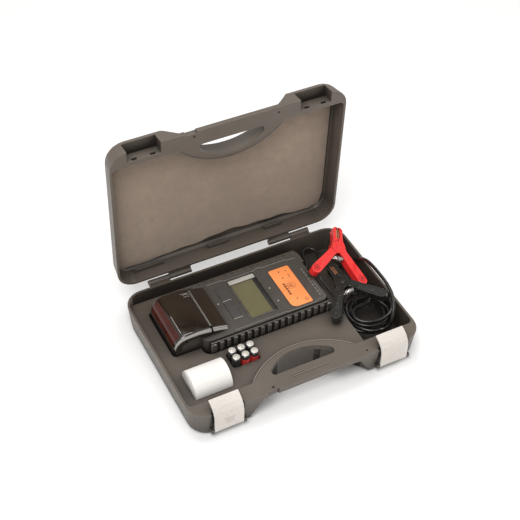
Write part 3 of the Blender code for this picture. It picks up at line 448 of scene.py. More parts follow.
def add(name, bm, look, body):
    """Makes a piece of a bmesh in millimetres, and puts it on its body."""
    bmesh.ops.scale(bm, vec=Vector((MM, MM, MM)), verts=bm.verts)
    bmesh.ops.recalc_face_normals(bm, faces=bm.faces)
    mesh = bpy.data.meshes.new(name)
    bm.to_mesh(mesh)
    bm.free()
    mesh.shade_smooth()
    mesh.set_sharp_from_angle(angle=math.radians(38.0))
    mesh.materials.append(LOOKS[look])
    obj = bpy.data.objects.new(name, mesh)
    bpy.context.scene.collection.objects.link(obj)
    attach(obj, body)
    return obj


def spline_point(a, b, c, d, t):
    """The Catmull-Rom curve from b to c, at t from 0 to 1."""
    bend = (2 * a - 5 * b + 4 * c - d) * t**2 + (3 * b - a - 3 * c + d) * t**3
    return 0.5 * (2 * b + (c - a) * t + bend)


def smooth_route(points, spacing):
    """Evenly spaced points along a smooth curve by the given ones, with their sharpest bends eased."""
    stops = [Vector(p) for p in points]
    stops = [stops[0] * 2 - stops[1], *stops, stops[-1] * 2 - stops[-2]]
    fine = []
    for i in range(1, len(stops) - 2):
        fine += [spline_point(*stops[i - 1 : i + 3], k / 20) for k in range(20)]
    fine.append(stops[-2])
    run = [0.0]
    for p, q in zip(fine, fine[1:]):
        run.append(run[-1] + (q - p).length)
    count = max(2, round(run[-1] / spacing))
    even, k = [], 0
    for i in range(count + 1):
        want = run[-1] * i / count
        while k < len(run) - 2 and run[k + 1] < want:
            k += 1
        even.append(fine[k].lerp(fine[k + 1], (want - run[k]) / max(run[k + 1] - run[k], 1e-9)))
    for _ in range(EASING):
        inner = [(a + b * 2 + c) / 4 for a, b, c in zip(even, even[1:], even[2:])]
        even = [even[0], *inner, even[-1]]
    return even


# ---- leads

COIL = Vector((146.0, -44.0, 0.0))
BLACK_D = 5.5
RED_D = 4.0
EASING = 5

# The black lead from its gland to the coil, as in the CAD
BLACK_OUT = (
    (97.6, 80, 25.0),
    (103, 80.3, 25.2),
    (108, 82.6, 26.6),
    (112, 87.6, 28.6),
    (113.6, 98, 30.8),
    (115.2, 109.6, 31.8),
    (121, 117.6, 31.6),
    (129.8, 119.9, 30.4),
    (138, 115, 29),
    (141, 104.6, 27.8),
    (138, 93, 26.8),
    (136.5, 83, 26),
    (143, 73, 25.4),
    (155, 66.6, 26),
    (166.5, 60, 31),
    (175, 52, 42),
    (178.6, 40, 56),
    (179.4, 24, 67.5),
    (179.5, 4, 72.6),
    (179.6, -18, 73.2),
    (179.2, -40, 72.6),
    (176.5, -60, 69),
    (170, -76, 61),
    (163, -86, 49),
    (159.2, -88.4, 38.5),
    (153.4, -86.8, 31.4),
)
# Each stop of the coil: turns from where the lead comes in, radius and height
BLACK_TURNS = (
    (0.0, 40.0, 28.2),
    (0.22, 33.0, 27.2),
    (1.0, 33.0, 27.2),
    (1.15, 27.0, 27.2),
    (1.85, 27.0, 27.2),
    (2.0, 27.0, 33.0),
    (2.7, 27.0, 33.0),
    (2.85, 33.0, 33.0),
    (3.26, 33.0, 33.0),
    (3.48, 33.0, 39.2),
)
# The lead turns back under the clamp, and its last loop lies on the coil the other way round
BLACK_BACK = (
    (148.0, -10.9, 39.2),
    (156.6, -14.5, 39.1),
    (160.2, -23.1, 38.9),
    (156.6, -31.7, 38.5),
    (148.0, -35.2, 38.2),
    (140.0, -35.0, 38.3),
    (131.4, -35.4, 38.7),
    (123.4, -38.4, 39.2),
    (118.0, -45.0, 39.4),
    (116.2, -53.4, 39.5),
    (118.4, -61.0, 39.5),
    (124.1, -66.8, 39.6),
    (131.0, -70.9, 39.8),
    (138.0, -73.9, 40.0),
    (151.4, -75.5, 40.8),
    (163.0, -74.5, 43.5),
    (169.5, -72.5, 47.5),
    (173.8, -67.5, 53.0),
    (174.6, -62.5, 57.7),
    (173.3, -58.6, 60.6),
)
# The thinner lead goes down to the floor of the well, round under the black one, and up to the red clamp
RED_OUT = (
    (97.6, 64, 25.0),
    (102, 63.9, 24.6),
    (106.2, 62.4, 21.8),
    (110.5, 58, 17.4),
    (113.4, 51, 13.2),
    (116, 42, 9.8),
    (121, 20, 7),
    (128, 3, 9),
    (137, -4.2, 14),
)
RED_TURNS = (
    (0.0, 38.8, 18.6),
    (0.15, 34.2, 18.1),
    (1.0, 34.2, 18.1),
    (1.15, 30.1, 18.1),
    (2.0, 30.1, 18.1),
    (2.15, 26.0, 18.1),
    (2.85, 26.0, 18.1),
    (3.0, 26.0, 22.2),
    (3.5, 26.0, 22.2),
    (3.65, 30.1, 22.2),
    (4.42, 30.1, 22.2),
    (4.55, 34.2, 22.2),
    (4.64, 38.0, 23.4),
    (4.8, 38.8, 37.6),
)
RED_BACK = (
    (109.9, -22.0, 40.4),
    (110.6, -9.0, 41.6),
    (109.4, 6, 42.8),
    (107.5, 22, 45),
    (105.6, 34, 48.6),
    (104.5, 41.5, 54.6),
)


def coil_points(stops, start_deg, step=1 / 32):
    """Points clockwise round the coil through the stops, easing from one to the next."""
    points = []
    count = round(stops[-1][0] / step)
    for i in range(count + 1):
        turns = stops[-1][0] * i / count
        k = max(j for j in range(len(stops) - 1) if stops[j][0] <= turns + 1e-9)
        (t0, r0, z0), (t1, r1, z1) = stops[k], stops[k + 1]
        share = (turns - t0) / (t1 - t0)
        share = share * share * (3 - 2 * share)
        angle = math.radians(start_deg - 360.0 * turns)
        radius, height = r0 + (r1 - r0) * share, z0 + (z1 - z0) * share
        points.append(COIL + Vector((radius * math.cos(angle), radius * math.sin(angle), height)))
    return points


def lead(colour, points, diameter, stands_for):
    """A whole lead, from its gland on the tester to its clamp, in place of the CAD's tubes."""
    route = smooth_route(points, diameter * 0.45)
    curve = bpy.data.curves.new(f"{colour}_cord", "CURVE")
    curve.dimensions = "3D"
    curve.bevel_depth = diameter / 2 * MM
    curve.bevel_resolution = 4
    curve.use_fill_caps = True
    spline = curve.splines.new("POLY")
    spline.points.add(len(route) - 1)
    for point, at in zip(spline.points, route):
        point.co = (*(at * MM), 1.0)
    spline.use_smooth = True
    obj = bpy.data.objects.new(f"{colour}_cord", curve)
    bpy.context.scene.collection.objects.link(obj)
    curve.materials.append(LOOKS["cable"])
    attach(obj, "tester")
    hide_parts(*stands_for)


def make_leads():
    black = [*BLACK_OUT, *coil_points(BLACK_TURNS, -88.5), *BLACK_BACK]
    lead("black", black, BLACK_D, ("black_lead", "black_lead_tail", "lead_coil"))
    red = [*RED_OUT, *coil_points(RED_TURNS, 90.0), *RED_BACK]
    lead("red", red, RED_D, ("red_lead", "red_lead_tail"))


# ---- CAD nodes


# Look, rounding of the edges in mm and in steps, and the CAD nodes that have them
NODE_LOOKS = (
    ("case", 0.8, 2, "case_base", "case_lid"),
    ("tray", 0.7, 2, "insert_tray"),
    ("tester", 0.5, 2, "tester_lower_case"),
    ("tester", 0.8, 2, "tester_upper_case"),
    ("latch", 0.5, 2, "latch_left", "latch_right"),
    ("key", 0.8, 3, "key_back", "key_front"),
    ("rubber", 0.7, 2, "side_grip_front", "side_grip_back"),
    ("rubber", 0.3, 2, "red_lead_gland", "black_lead_gland"),
    ("rubber", 0.2, 2, "platen_roller"),
    ("cell", 0.25, 2, *(f"battery_{i}" for i in range(1, 7))),
    ("steel", 0.2, 1, "hinge_pin_left", "hinge_pin_right", "cover_hinge_pin"),
    ("steel", 0.2, 1, "latch_pin_left", "latch_pin_right"),
    ("steel", 0.3, 2, "printer_frame"),
    ("steel", 0.1, 1, "tear_bar"),
    ("motor", 0.3, 2, "printer_motor"),
    ("lcd", 0.3, 2, "lcd_window"),
    ("board", 0.2, 2, "lcd_module", "main_board"),
    ("board", 0.1, 2, "thermal_head"),
    ("label", 0.15, 1, "front_label"),
    ("door", 0.4, 2, "battery_holder", "battery_door"),
    ("smoked", 0.5, 2, "printer_bezel", "printer_cover"),
    ("gear", 0.0, 0, "platen_gear", "motor_pinion"),
    ("paper", 0.3, 2, "printer_paper_roll", "spare_paper_roll"),
    ("foam", 0.4, 2, "lid_lining"),
)


def dress_nodes():
    for look, width, segments, *nodes in NODE_LOOKS:
        for node in nodes:
            dress(node, look, width, segments)
    for word in ("red", "black"):
        for half in ("fixed", "moving"):
            dress(f"{word}_clamp_{half}_half", word, 1.1, 3)
            dress(f"{word}_clamp_{half}_contact", "copper", 0.3, 1)
        dress(f"{word}_clamp_pin", "brass", 0.3, 2)
        dress(f"{word}_clamp_spring", "spring", 0.2, 2)


# ---- small shapes


def brick(bm, low, high, bevel=0.0):
    """Adds a block, with its edges rounded when bevel isn't 0."""
    new = bmesh.ops.create_cube(bm, size=1.0)["verts"]
    size, middle = Vector(high) - Vector(low), (Vector(high) + Vector(low)) / 2
    bmesh.ops.scale(bm, vec=size, verts=new)
    bmesh.ops.translate(bm, vec=middle, verts=new)
    if bevel:
        edges = list({e for v in new for e in v.link_edges})
        bmesh.ops.bevel(bm, geom=edges, offset=bevel, segments=2, profile=0.5, affect="EDGES")


def slab(bm, outline, low, high, bevel=0.0):
    """Adds a flat plate with the given outline in x and y."""
    under = [bm.verts.new((x, y, low)) for x, y in outline]
    over = [bm.verts.new((x, y, high)) for x, y in outline]
    top = bm.faces.new(over)
    bm.faces.new(under[::-1])
    count = len(outline)
    for i in range(count):
        k = (i + 1) % count
        bm.faces.new((under[i], under[k], over[k], over[i]))
    if bevel:
        bmesh.ops.bevel(bm, geom=list(top.edges), offset=bevel, segments=2, profile=0.5, affect="EDGES")


def drum(bm, radius, start, end, sides=28, bevel=0.0, tip=None):
    """Adds a cylinder, or a cone with tip as its end radius."""
    start, end = Vector(start), Vector(end)
    turn = Vector((0, 0, 1)).rotation_difference((end - start).normalized()).to_matrix().to_4x4()
    new = bmesh.ops.create_cone(
        bm, cap_ends=True, segments=sides, radius1=radius, radius2=radius if tip is None else tip,
        depth=(end - start).length, matrix=Matrix.Translation((end + start) / 2) @ turn,
    )["verts"]
    if bevel:
        edges = {e for v in new for e in v.link_edges}
        rims = [e for e in edges if any(len(f.verts) > 4 for f in e.link_faces)]
        bmesh.ops.bevel(bm, geom=rims, offset=bevel, segments=2, profile=0.5, affect="EDGES")


def ball(bm, radius, centre, squash=1.0):
    place = Matrix.Translation(Vector(centre)) @ Matrix.Diagonal((1, 1, squash, 1))
    bmesh.ops.create_uvsphere(bm, u_segments=20, v_segments=12, radius=radius, matrix=place)


def wire(bm, points, radius, sides=8, closed=False):
    """Adds a round wire along points."""
    points = [Vector(p) for p in points]
    count = len(points)
    rings, side = [], None
    for i, at in enumerate(points):
        ahead = points[(i + 1) % count] if closed or i < count - 1 else at
        behind = points[i - 1] if closed or i > 0 else at
        along = (ahead - behind).normalized()
        if side is None:
            side = along.orthogonal().normalized()
        side = (side - along * side.dot(along)).normalized()
        other = along.cross(side)
        turns = [2 * math.pi * k / sides for k in range(sides)]
        rings.append([bm.verts.new(at + (side * math.cos(t) + other * math.sin(t)) * radius) for t in turns])
    for a, b in zip(rings, rings[1:] + (rings[:1] if closed else [])):
        for k in range(sides):
            bm.faces.new((a[k], a[(k + 1) % sides], b[(k + 1) % sides], b[k]))
    if not closed:
        bm.faces.new(rings[0][::-1])
        bm.faces.new(rings[-1])


def helix(radius, length, turns, steps):
    """Points of a coil round the z axis, centred on the origin."""
    points = []
    for k in range(steps + 1):
        t = 2 * math.pi * turns * k / steps
        points.append((radius * math.cos(t), radius * math.sin(t), length * (k / steps - 0.5)))
    return points


def circle(centre, radius, start_deg, end_deg, steps):
    """Points in x and y along an arc."""
    turns = [math.radians(start_deg + (end_deg - start_deg) * k / steps) for k in range(steps + 1)]
    return [(centre[0] + radius * math.cos(t), centre[1] + radius * math.sin(t)) for t in turns]


def raised(points, height):
    """Puts points in x and y at a height."""
    return [(x, y, height) for x, y in points]


def collar_arc(radius, height):
    """The arc along the handle's collar, over the shut case."""
    return raised(circle(COLLAR_CENTRE, radius, 135, 45, 60), height)


def round_box(x0, y0, x1, y1, radius, steps=5):
    """The outline of a box with rounded corners."""
    points = []
    for cx, cy, start in (
        (x1 - radius, y0 + radius, 270), (x1 - radius, y1 - radius, 0),
        (x0 + radius, y1 - radius, 90), (x0 + radius, y0 + radius, 180),
    ):
        points += circle((cx, cy), radius, start, start + 90, steps)
    return points


def on_lid(bm):
    """Moves what was drawn over the shut case to where the open lid holds it."""
    swing = Matrix.Rotation(math.radians(-LID_OPEN_DEG), 4, "X")
    bmesh.ops.transform(
        bm, matrix=Matrix.Translation(HINGE) @ swing @ Matrix.Translation(-HINGE), verts=bm.verts
    )
    return bm


# ---- case details

# On the faces where base and lid meet, what stands up stays inside the 0.3 mm between them


def make_base_rim():
    """A mark on the base's handle, and lines of painted shade and painted highlight for the grooves of its
    bars and the ridge along its collar.
    """
    bm = bmesh.new()
    drum(bm, 2.4, (-62, -126, RIM - 0.4), (-62, -126, RIM + 0.12), 24)
    add("base_flange_mark", bm, "dark", "case")
    bars = ((-121.6, -28, 34), (-117.6, -30, -8))
    # Dark lines: painted shade along the bars' grooves and the collar's ridge, on a flat face.
    bm = bmesh.new()
    for y, x0, x1 in bars:
        brick(bm, (x0, y - 0.45, RIM - 0.5), (x1, y + 0.45, RIM + 0.12))
    wire(bm, collar_arc(113.2, RIM - 0.78), 0.9, 12)
    add("base_bar_groove_shade", bm, "dark", "case")
    # Grey lines beside them: painted highlight on the lit edges of the grooves and the ridge.
    bm = bmesh.new()
    for y, x0, x1 in bars:
        brick(bm, (x0, y + 0.6, RIM - 0.5), (x1, y + 1.2, RIM + 0.14))
    wire(bm, collar_arc(114.3, RIM - 0.78), 0.9, 12)
    add("base_bar_groove_highlight", bm, "grey_line", "case")


def make_lid_rim():
    """Ribs inside the lid's back wall, a dark line of painted shade along its collar, and a mark on its
    handle.
    """
    bm = bmesh.new()
    for x0, x1 in ((-156, -107), (-30, 5), (70, 100)):
        brick(bm, (x0, 120.4, RIM + 17), (x1, 128.2, RIM + 18.4), 0.3)
    add("lid_wall_ribs", on_lid(bm), "case", "lid")
    # A dark line along the collar: painted shade of its ridge.
    bm = bmesh.new()
    wire(bm, collar_arc(112.6, RIM + 1.08), 0.9, 12)
    add("lid_collar_shade_line", on_lid(bm), "dark", "lid")
    bm = bmesh.new()
    drum(bm, 2.2, (-60, -125, RIM + 0.8), (-60, -125, RIM + 0.18), 24)
    add("lid_flange_mark", on_lid(bm), "dark", "lid")


def make_case_details():
    """Painted shade beside the latches, grip lines on the left latch in a grey that paints their light and
    shade, and the feet.
    """
    for side, word in ((-1, "left"), (1, "right")):
        bm = bmesh.new()
        for edge in (-1, 1):
            x = side * LATCH_X + edge * 25.6
            brick(bm, (x - 0.5, -132.9, 12), (x + 0.5, -130.9, RIM - 1))
        add(f"latch_recess_shadow_{word}", bm, "dark", "case")

    # Grip lines: real raised ridges, in a grey darker than the latch that paints their light and shade.
    bm = bmesh.new()
    for k in range(3):
        z, half = 27.5 + 4.2 * k, 6.0 + 1.2 * k
        curve = [(-136.5 + half * j / 4, -137.95, z + 0.1 * j**2 / 4) for j in range(-4, 5)]
        wire(bm, curve, 0.6, 8)
    add("latch_left_grip_lines", bm, "mark", "latch_left")

    bm = bmesh.new()
    for x in (-150, 150):
        for y in (-100, 96):
            drum(bm, 6.0, (x, y, 0.35), (x, y, 0.0))
    add("case_feet", bm, "rubber", "case")


def inside_corner(x, y):
    """Draws a point in, so that it stays clear of the lid's rounded back corners."""
    past = Vector((max(0.0, abs(x) - 160.0), max(0.0, y - 103.3)))
    over = max(0.0, past.length - 22.6)
    past *= over / max(past.length, 1e-9)
    return x - math.copysign(past.x, x), y - past.y


def lining_edge(share, right, left):
    """The lining's lower edge, cut by hand and a little wavy. share goes from 0 at the right to 1."""
    x = right - 6 - (right - 6 - left) * share
    wave = 1.5 * math.sin(share * 23.0) + 0.9 * math.sin(share * 51.0 + 1.0)
    lift = 9.0 * math.sin(math.pi * min(1.0, share * 1.15)) ** 2
    nick = 3.0 if share < 0.04 else 0.0
    return x, min(121.0 - lift + wave - nick, 122.2)


def make_lining():
    """The lid's foam sheet, glued to the lid's flat inside."""
    left, right, top = -179.0, 179.5, -100.2
    arc = circle(COLLAR_CENTRE, 121.5, 133.0, 47.0, 40)
    outline = [(left + 7, top), *arc, (right - 7, top), (right, top + 7), (right, 95.0)]
    outline += [lining_edge(k / 60, right, left) for k in range(61)]
    outline += [(left, 116.0), (left, top + 7)]
    face = LID_TOP - 3.5 - 0.3
    bm = bmesh.new()
    slab(bm, [inside_corner(x, y) for x, y in outline], face - 2.2, face - 0.1, 0.5)
    obj = add("lid_lining_sheet", on_lid(bm), "foam", "lid")
    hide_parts("lid_lining")


# ---- tester details


def make_face_details():
    """The step round the face with painted highlight along its edges, the display's frame, painted shade
    inside the window's right edge, painted highlights on the keys' front edges, and marks beside the window.
    """
    # Grey lines along the face's step: painted highlight on the lit step edges.
    bm = bmesh.new()
    back = [(-66, 91.0), (-40, 91.0), (-37.5, 88.6), (16, 88.6), (18.5, 91.0), (26, 91.0), (29, 88.6)]
    back += [(70, 88.6), (73, 86.0), (87, 86.0)]
    wire(bm, raised(back, FACE + 0.05), 0.42, 6)
    front = [(-66, -10.6), (20, -10.6), (24, -12.4), (72, -12.4), (76, -9.6), (88, -9.6), (88, 30)]
    wire(bm, raised(front, FACE + 0.05), 0.38, 6)
    add("face_plate_step_highlight", bm, "grey_line", "tester")

    bm = bmesh.new()
    wire(bm, raised(round_box(-35.2, -1.6, 14.2, 87.6, 3.0), FACE + 0.1), 0.8, 8, closed=True)
    add("lcd_frame_bead", bm, "tester", "tester")

    bm = bmesh.new()
    slab(bm, round_box(-32.6, 77.2, 11.6, 85.6, 0.8, 2), 54.4, FACE - 1.3, 0.3)
    add("lcd_inner_strip", bm, "pale", "tester")
    # A dark strip inside the window's right edge: painted shade.
    bm = bmesh.new()
    brick(bm, (5.8, 1.0, 53.0), (11.4, 76.6, FACE - 1.9), 0.3)
    add("lcd_inner_edge_shade", bm, "dark", "tester")

    # Pale lines at the keys' front edges: painted highlight on their bevels.
    bm = bmesh.new()
    brick(bm, (-57.6, 9.6, FACE - 0.3), (-43.2, 10.5, FACE + 0.45), 0.2)
    brick(bm, (-57.6, 48.5, FACE - 0.3), (-43.2, 49.4, FACE + 0.45), 0.2)
    add("key_edge_highlights", bm, "pale", "tester")

    bm = bmesh.new()
    for x, y in ((-66, 48), (20, 15), (20, 44)):
        ball(bm, 1.3, (x, y, FACE), 0.7)
    add("status_lights", bm, "pale", "tester")

    bm = bmesh.new()
    for k in range(9):
        low = 61.5 - 7.4 * k
        brick(bm, (83.2, low - 5.6, FACE - 0.2), (84.6, low - (0.6 if k % 3 else 1.8), FACE + 0.15))
    add("side_scale_marks", bm, "grey_line", "tester")


def make_label_marks():
    """Plain marks where a label has its writing: an oval with bars in it, blocks, a ring and ticks."""
    low, high = LABEL_TOP - 0.1, LABEL_TOP + 0.06
    turns = [2 * math.pi * k / 28 for k in range(28)]
    oval = [(51.0 + 9.0 * math.cos(t), 34.0 + 6.0 * math.sin(t)) for t in turns]
    bm = bmesh.new()
    wire(bm, raised(oval, LABEL_TOP), 0.28, 6, closed=True)
    for y in (31.6, 34.0, 36.4):
        brick(bm, (46.0, y - 0.45, low), (56.0, y + 0.45, high))
    for k in range(5):
        brick(bm, (41.5, 17.0 + 5.4 * k, low), (44.8, 21.0 + 5.4 * k, high))
    wire(bm, raised(circle((61.5, -1.0), 2.9, 0, 345, 20), LABEL_TOP), 0.32, 6)
    brick(bm, (60.2, -2.2, low), (62.8, -1.4, high))
    for y in (4.0, 52.0, 66.0):
        brick(bm, (47.5, y, low), (49.0, y + 3.4, high))
    for y in (50.5, 55.0, 64.5):
        brick(bm, (58.6, y, low), (59.8, y + 3.0, high))
    add("label_marks", bm, "ink", "tester")


def make_underside_details():
    """Screws, with painted shade for the crossed slot in each head, and the grip lines of the battery door.
    """
    bm = bmesh.new()
    for x, y in SCREWS:
        drum(bm, 2.9, (x, y, UNDERSIDE), (x, y, UNDERSIDE + 0.45), 24, 0.15)
    add("case_screws", bm, "steel", "tester")
    # Dark crosses in the screw heads: painted shade of the slot in each head.
    low, high = UNDERSIDE - 0.15, UNDERSIDE + 0.06
    bm = bmesh.new()
    for x, y in SCREWS:
        brick(bm, (x - 1.9, y - 0.35, low), (x + 1.9, y + 0.35, high))
        brick(bm, (x - 0.35, y - 1.9, low), (x + 0.35, y + 1.9, high))
    add("case_screw_slot_shade", bm, "dark", "tester")
    bm = bmesh.new()
    for k in range(4):
        y = 30.0 + 6 * k
        brick(bm, (36.0, y, UNDERSIDE - 0.2), (38.2, y + 3.0, UNDERSIDE + 0.2), 0.2)
    add("battery_door_grip", bm, "door", "tester")


def make_inside_details():
    """Chips and capacitors on the main board, and the springs of the battery holder."""
    bm = bmesh.new()
    chips = [(-52, 8, -38, 22, 2.0), (-20, 30, 4, 54, 2.4), (18, 10, 30, 22, 1.8)]
    chips += [(44, 40, 66, 54, 2.2), (40, 4, 48, 30, 1.4), (-58, 40, -46, 66, 1.6)]
    for x0, y0, x1, y1, tall in chips:
        brick(bm, (x0, y0, BOARD_TOP), (x1, y1, BOARD_TOP + 0.1 + tall), 0.2)
    add("board_chips", bm, "black", "tester")
    bm = bmesh.new()
    for k in range(9):
        x, y = -60 + 16 * k, -1.5 + 80 * (k % 2)
        drum(bm, 2.0, (x, y, BOARD_TOP), (x, y, BOARD_TOP + 3.1), 16, 0.2)
    add("board_capacitors", bm, "steel", "tester")
    bm = bmesh.new()
    for y in (18, 36, 54):
        for x, end in ((-71.6, 1), (43.6, -1)):
            coil = helix(3.4, 3.4, 4.966, 60)
            wire(bm, [(x + end * (along + 1.7), y + a, 19.5 + b) for a, b, along in coil], 0.35, 6)
    add("battery_springs", bm, "spring", "tester")


def make_grips():
    """The ribbed rubber strips: each slot open at the top edge, over a plain lower band, with rounded ends,
    and painted shade at each slot's root.
    """
    pitch = 11.3
    for word, edge, face in (("front", -14.3, -1), ("back", 96.3, 1)):
        root, outer = edge + face * 3.4, edge + face * 7.5
        low, high = sorted((edge + face * 2.0, outer))
        bm = bmesh.new()
        brick(bm, (-108.0, min(edge, root), 12.2), (92.0, max(edge, root), 53.8), 0.9)
        brick(bm, (-103.0, low, 12.2), (90.0, high, 28.5), 1.2)
        for x0, x1 in ((-109.5, -101.5), (86.5, 92.5)):
            brick(bm, (x0, low, 12.1), (x1, outer - face * 1.2, 54.0), 1.9)
        for i in range(16):
            x = -95.0 + pitch * i
            brick(bm, (x, low, 27.5), (x + 5.9, high, 54.0), 1.0)
        grip = add(f"grip_{word}", bm, "rubber", "tester")
        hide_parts(f"side_grip_{word}")
        # Dark strips at the root of each slot: painted shade, where the slot's bottom gets little light.
        low, high = sorted((root, root + face * 0.25))
        bm = bmesh.new()
        for i in range(16):
            x = -100.2 + pitch * i
            brick(bm, (x, low, 28.6), (x + 5.2, high, 53.4))
        add(f"grip_{word}_slot_shade", bm, "dark", "tester")


# ---- printer


def printer_profile(drop):
    """The printer's top in side view, x and z, from its hinge end to the paper slot, lowered by drop."""
    left = -162.0 + drop
    return [
        (left, 47.0), (left + 0.5, 51.5), (left + 1.2, 55.5 - drop * 0.2), (left + 2.9, 60.5 - drop * 0.4),
        (left + 5.2, 64.5 - drop * 0.55), (left + 8.0, 67.6 - drop * 0.75), (left + 11.5, 70.0 - drop * 0.9),
        (-145.8 + drop * 0.3, 71.5 - drop), (-140.0, 72.4 - drop), (-131.0, 72.75 - drop),
        (-122.0, 72.8 - drop), (-112.0, 71.4 - drop), (-101.5, 69.4 - drop),
    ]


def bezel_profile(drop):
    """The same for the fixed bezel between the slot and the tester's face."""
    top = [(-98.4, 69.1), (-92.0, 67.6), (-86.0, 66.2), (-80.0, 64.3), (-74.4, 62.5)]
    return [(x, z - drop) for x, z in top]


def hood(bm, profile_of, y0, y1, thick):
    """A shell over the printer: its profile across the width, rounded down at both ends."""
    reach, foot = 6.0, 11.0
    turns = [math.radians(15 * k) for k in range(1, 6)]
    arc = [(y0 + reach * (1 - math.cos(t)), reach * (1 - math.sin(t))) for t in turns]
    end = [(y0, foot), (y0, reach), *arc, (y0 + reach, 0.0)]
    outer = end + [(y0 + y1 - y, drop) for y, drop in reversed(end)]
    inner = [(max(y0 + thick, min(y1 - thick, y)), drop + thick) for y, drop in outer]
    inner[0], inner[-1] = (inner[0][0], foot), (inner[-1][0], foot)
    skins = [
        [[bm.verts.new((x, y, z)) for x, z in profile_of(drop)] for y, drop in stations]
        for stations in (outer, inner)
    ]
    rows, columns = len(skins[0]), len(skins[0][0])
    for skin in skins:
        for i in range(rows - 1):
            for k in range(columns - 1):
                bm.faces.new((skin[i][k], skin[i][k + 1], skin[i + 1][k + 1], skin[i + 1][k]))
    over, under = skins
    for k in range(columns - 1):
        for i in (0, rows - 1):
            bm.faces.new((over[i][k], over[i][k + 1], under[i][k + 1], under[i][k]))
    for i in range(rows - 1):
        for k in (0, columns - 1):
            bm.faces.new((over[i][k], over[i + 1][k], under[i + 1][k], under[i][k]))


def make_cover():
    """The smoked cover with its hinge barrel, the red window in its end and a light line."""
    bm = bmesh.new()
    hood(bm, printer_profile, -4.0, 90.0, 1.3)
    drum(bm, 3.0, (-157.6, 4.0, 51.5), (-157.6, 82.0, 51.5), 24)
    cover = add("printer_hood", bm, "smoked", "printer_cover")
    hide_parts("printer_cover")
    bm = bmesh.new()
    low, high = (
        [bm.verts.new((x - 0.12, y, z + 0.12)) for x, z in printer_profile(0.0)[1:7]] for y in (3.0, 83.0)
    )
    for k in range(5):
        bm.faces.new((low[k], low[k + 1], high[k + 1], high[k]))
    add("printer_end_window", bm, "red_window", "printer_cover")
    bm = bmesh.new()
    brick(bm, (-146.6, 7.0, 71.2), (-145.9, 44.0, 71.75), 0.1)
    add("hood_light_line", bm, "pale", "printer_cover")


def make_paper_slot():
    """The tear bar's teeth, a dark block of painted shade in the paper slot, and the edge of the bezel behind
    it.
    """
    bm = bmesh.new()
    for k in range(39):
        y = 5.0 + 2.0 * k
        drum(bm, 0.95, (-100.6, y, 69.0), (-100.6, y, 70.6), 3, tip=0.05)
    add("tear_bar_teeth", bm, "steel", "tester")
    # Painted shade: a dark block fills the paper slot so that it reads as deep.
    bm = bmesh.new()
    brick(bm, (-101.3, 4, 64.0), (-99.2, 82, 68.2))
    add("paper_slot_shade", bm, "dark", "tester")
    bm = bmesh.new()
    brick(bm, (-99.4, 3.2, 67.6), (-98.6, 83, 69.75), 0.15)
    add("bezel_edge_line", bm, "grey_line", "tester")


def make_bezel():
    bm = bmesh.new()
    hood(bm, bezel_profile, -4.0, 90.0, 1.5)
    bezel = add("printer_bezel_shell", bm, "smoked", "tester")
    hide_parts("printer_bezel")


def make_front_highlight(name, body, stations):
    """A painted highlight: a pale glossy strip along the rounded front edge of a printer shell, where light
    catches it, wider towards both ends.
    """
    bm = bmesh.new()
    rows = []
    for x, z in stations:
        wide = 1.0 + 1.8 * abs(min(1.0, (x + 138.0) / 50.0))
        inner_edge = (-2.9 + wide * 0.8, 2.1 - wide * 0.62)
        across = ((-4.15, 5.4), (-3.9, 3.9), (-2.9, 2.4), inner_edge)
        rows.append([bm.verts.new((x, y, z - drop)) for y, drop in across])
    for a, b in zip(rows, rows[1:]):
        for k in range(3):
            bm.faces.new((a[k], a[k + 1], b[k + 1], b[k]))
    add(name, bm, "band", body)


def make_opening_marks():
    """Two arrows and a line on the cover, where it is lifted."""
    bm = bmesh.new()
    for y in (71.0, 75.5):
        wire(bm, [(-113, y, 71.75), (-106, y + 1.6, 70.55), (-103, y, 69.95)], 0.28, 6)
    wire(bm, [(-116, 78.5, 72.2), (-103, 78.5, 69.95)], 0.28, 6)
    add("hood_arrow_marks", bm, "pale", "printer_cover")


def make_printer_details():
    make_cover()
    make_paper_slot()
    make_bezel()
    make_front_highlight("hood_front_highlight", "printer_cover", printer_profile(0.0)[2:])
    make_front_highlight("bezel_front_highlight", "tester", bezel_profile(0.0))
    make_opening_marks()


# ---- loose things


def make_cell_details():
    """Both ends of each AA cell, and the red band on two of them."""
    places = [(x, y) for y in (-40.3, -54.7) for x in (-85.9, -71.05, -56.2)]
    for number, (x, y) in enumerate(places, 1):
        body = f"battery_{number}"
        bm = bmesh.new()
        drum(bm, 5.5, (x, y, 52.2), (x, y, 52.9), 28, 0.2)
        drum(bm, 2.7, (x, y, 52.6), (x, y, 53.95), 24, 0.4)
        drum(bm, 5.8, (x, y, 3.25), (x, y, 3.6))
        add(f"battery_{number}_terminals", bm, "cap", body)
        if number in (5, 6):
            bm = bmesh.new()
            drum(bm, 7.22, (x, y, 34.0), (x, y, 45.5), 32)
            add(f"battery_{number}_band", bm, "cell_red", body)


def roll_core(name, body, centre, half, radius):
    """A card tube, open at both ends. half reaches from its middle to one end."""
    centre, half = Vector(centre), Vector(half)
    bm = bmesh.new()
    for r in (radius, radius - 1.2):
        drum(bm, r, centre - half, centre + half, 32)
    caps = [f for f in bm.faces if len(f.verts) > 4]
    bmesh.ops.delete(bm, geom=caps, context="FACES_ONLY")
    add(name, bm, "core", body)


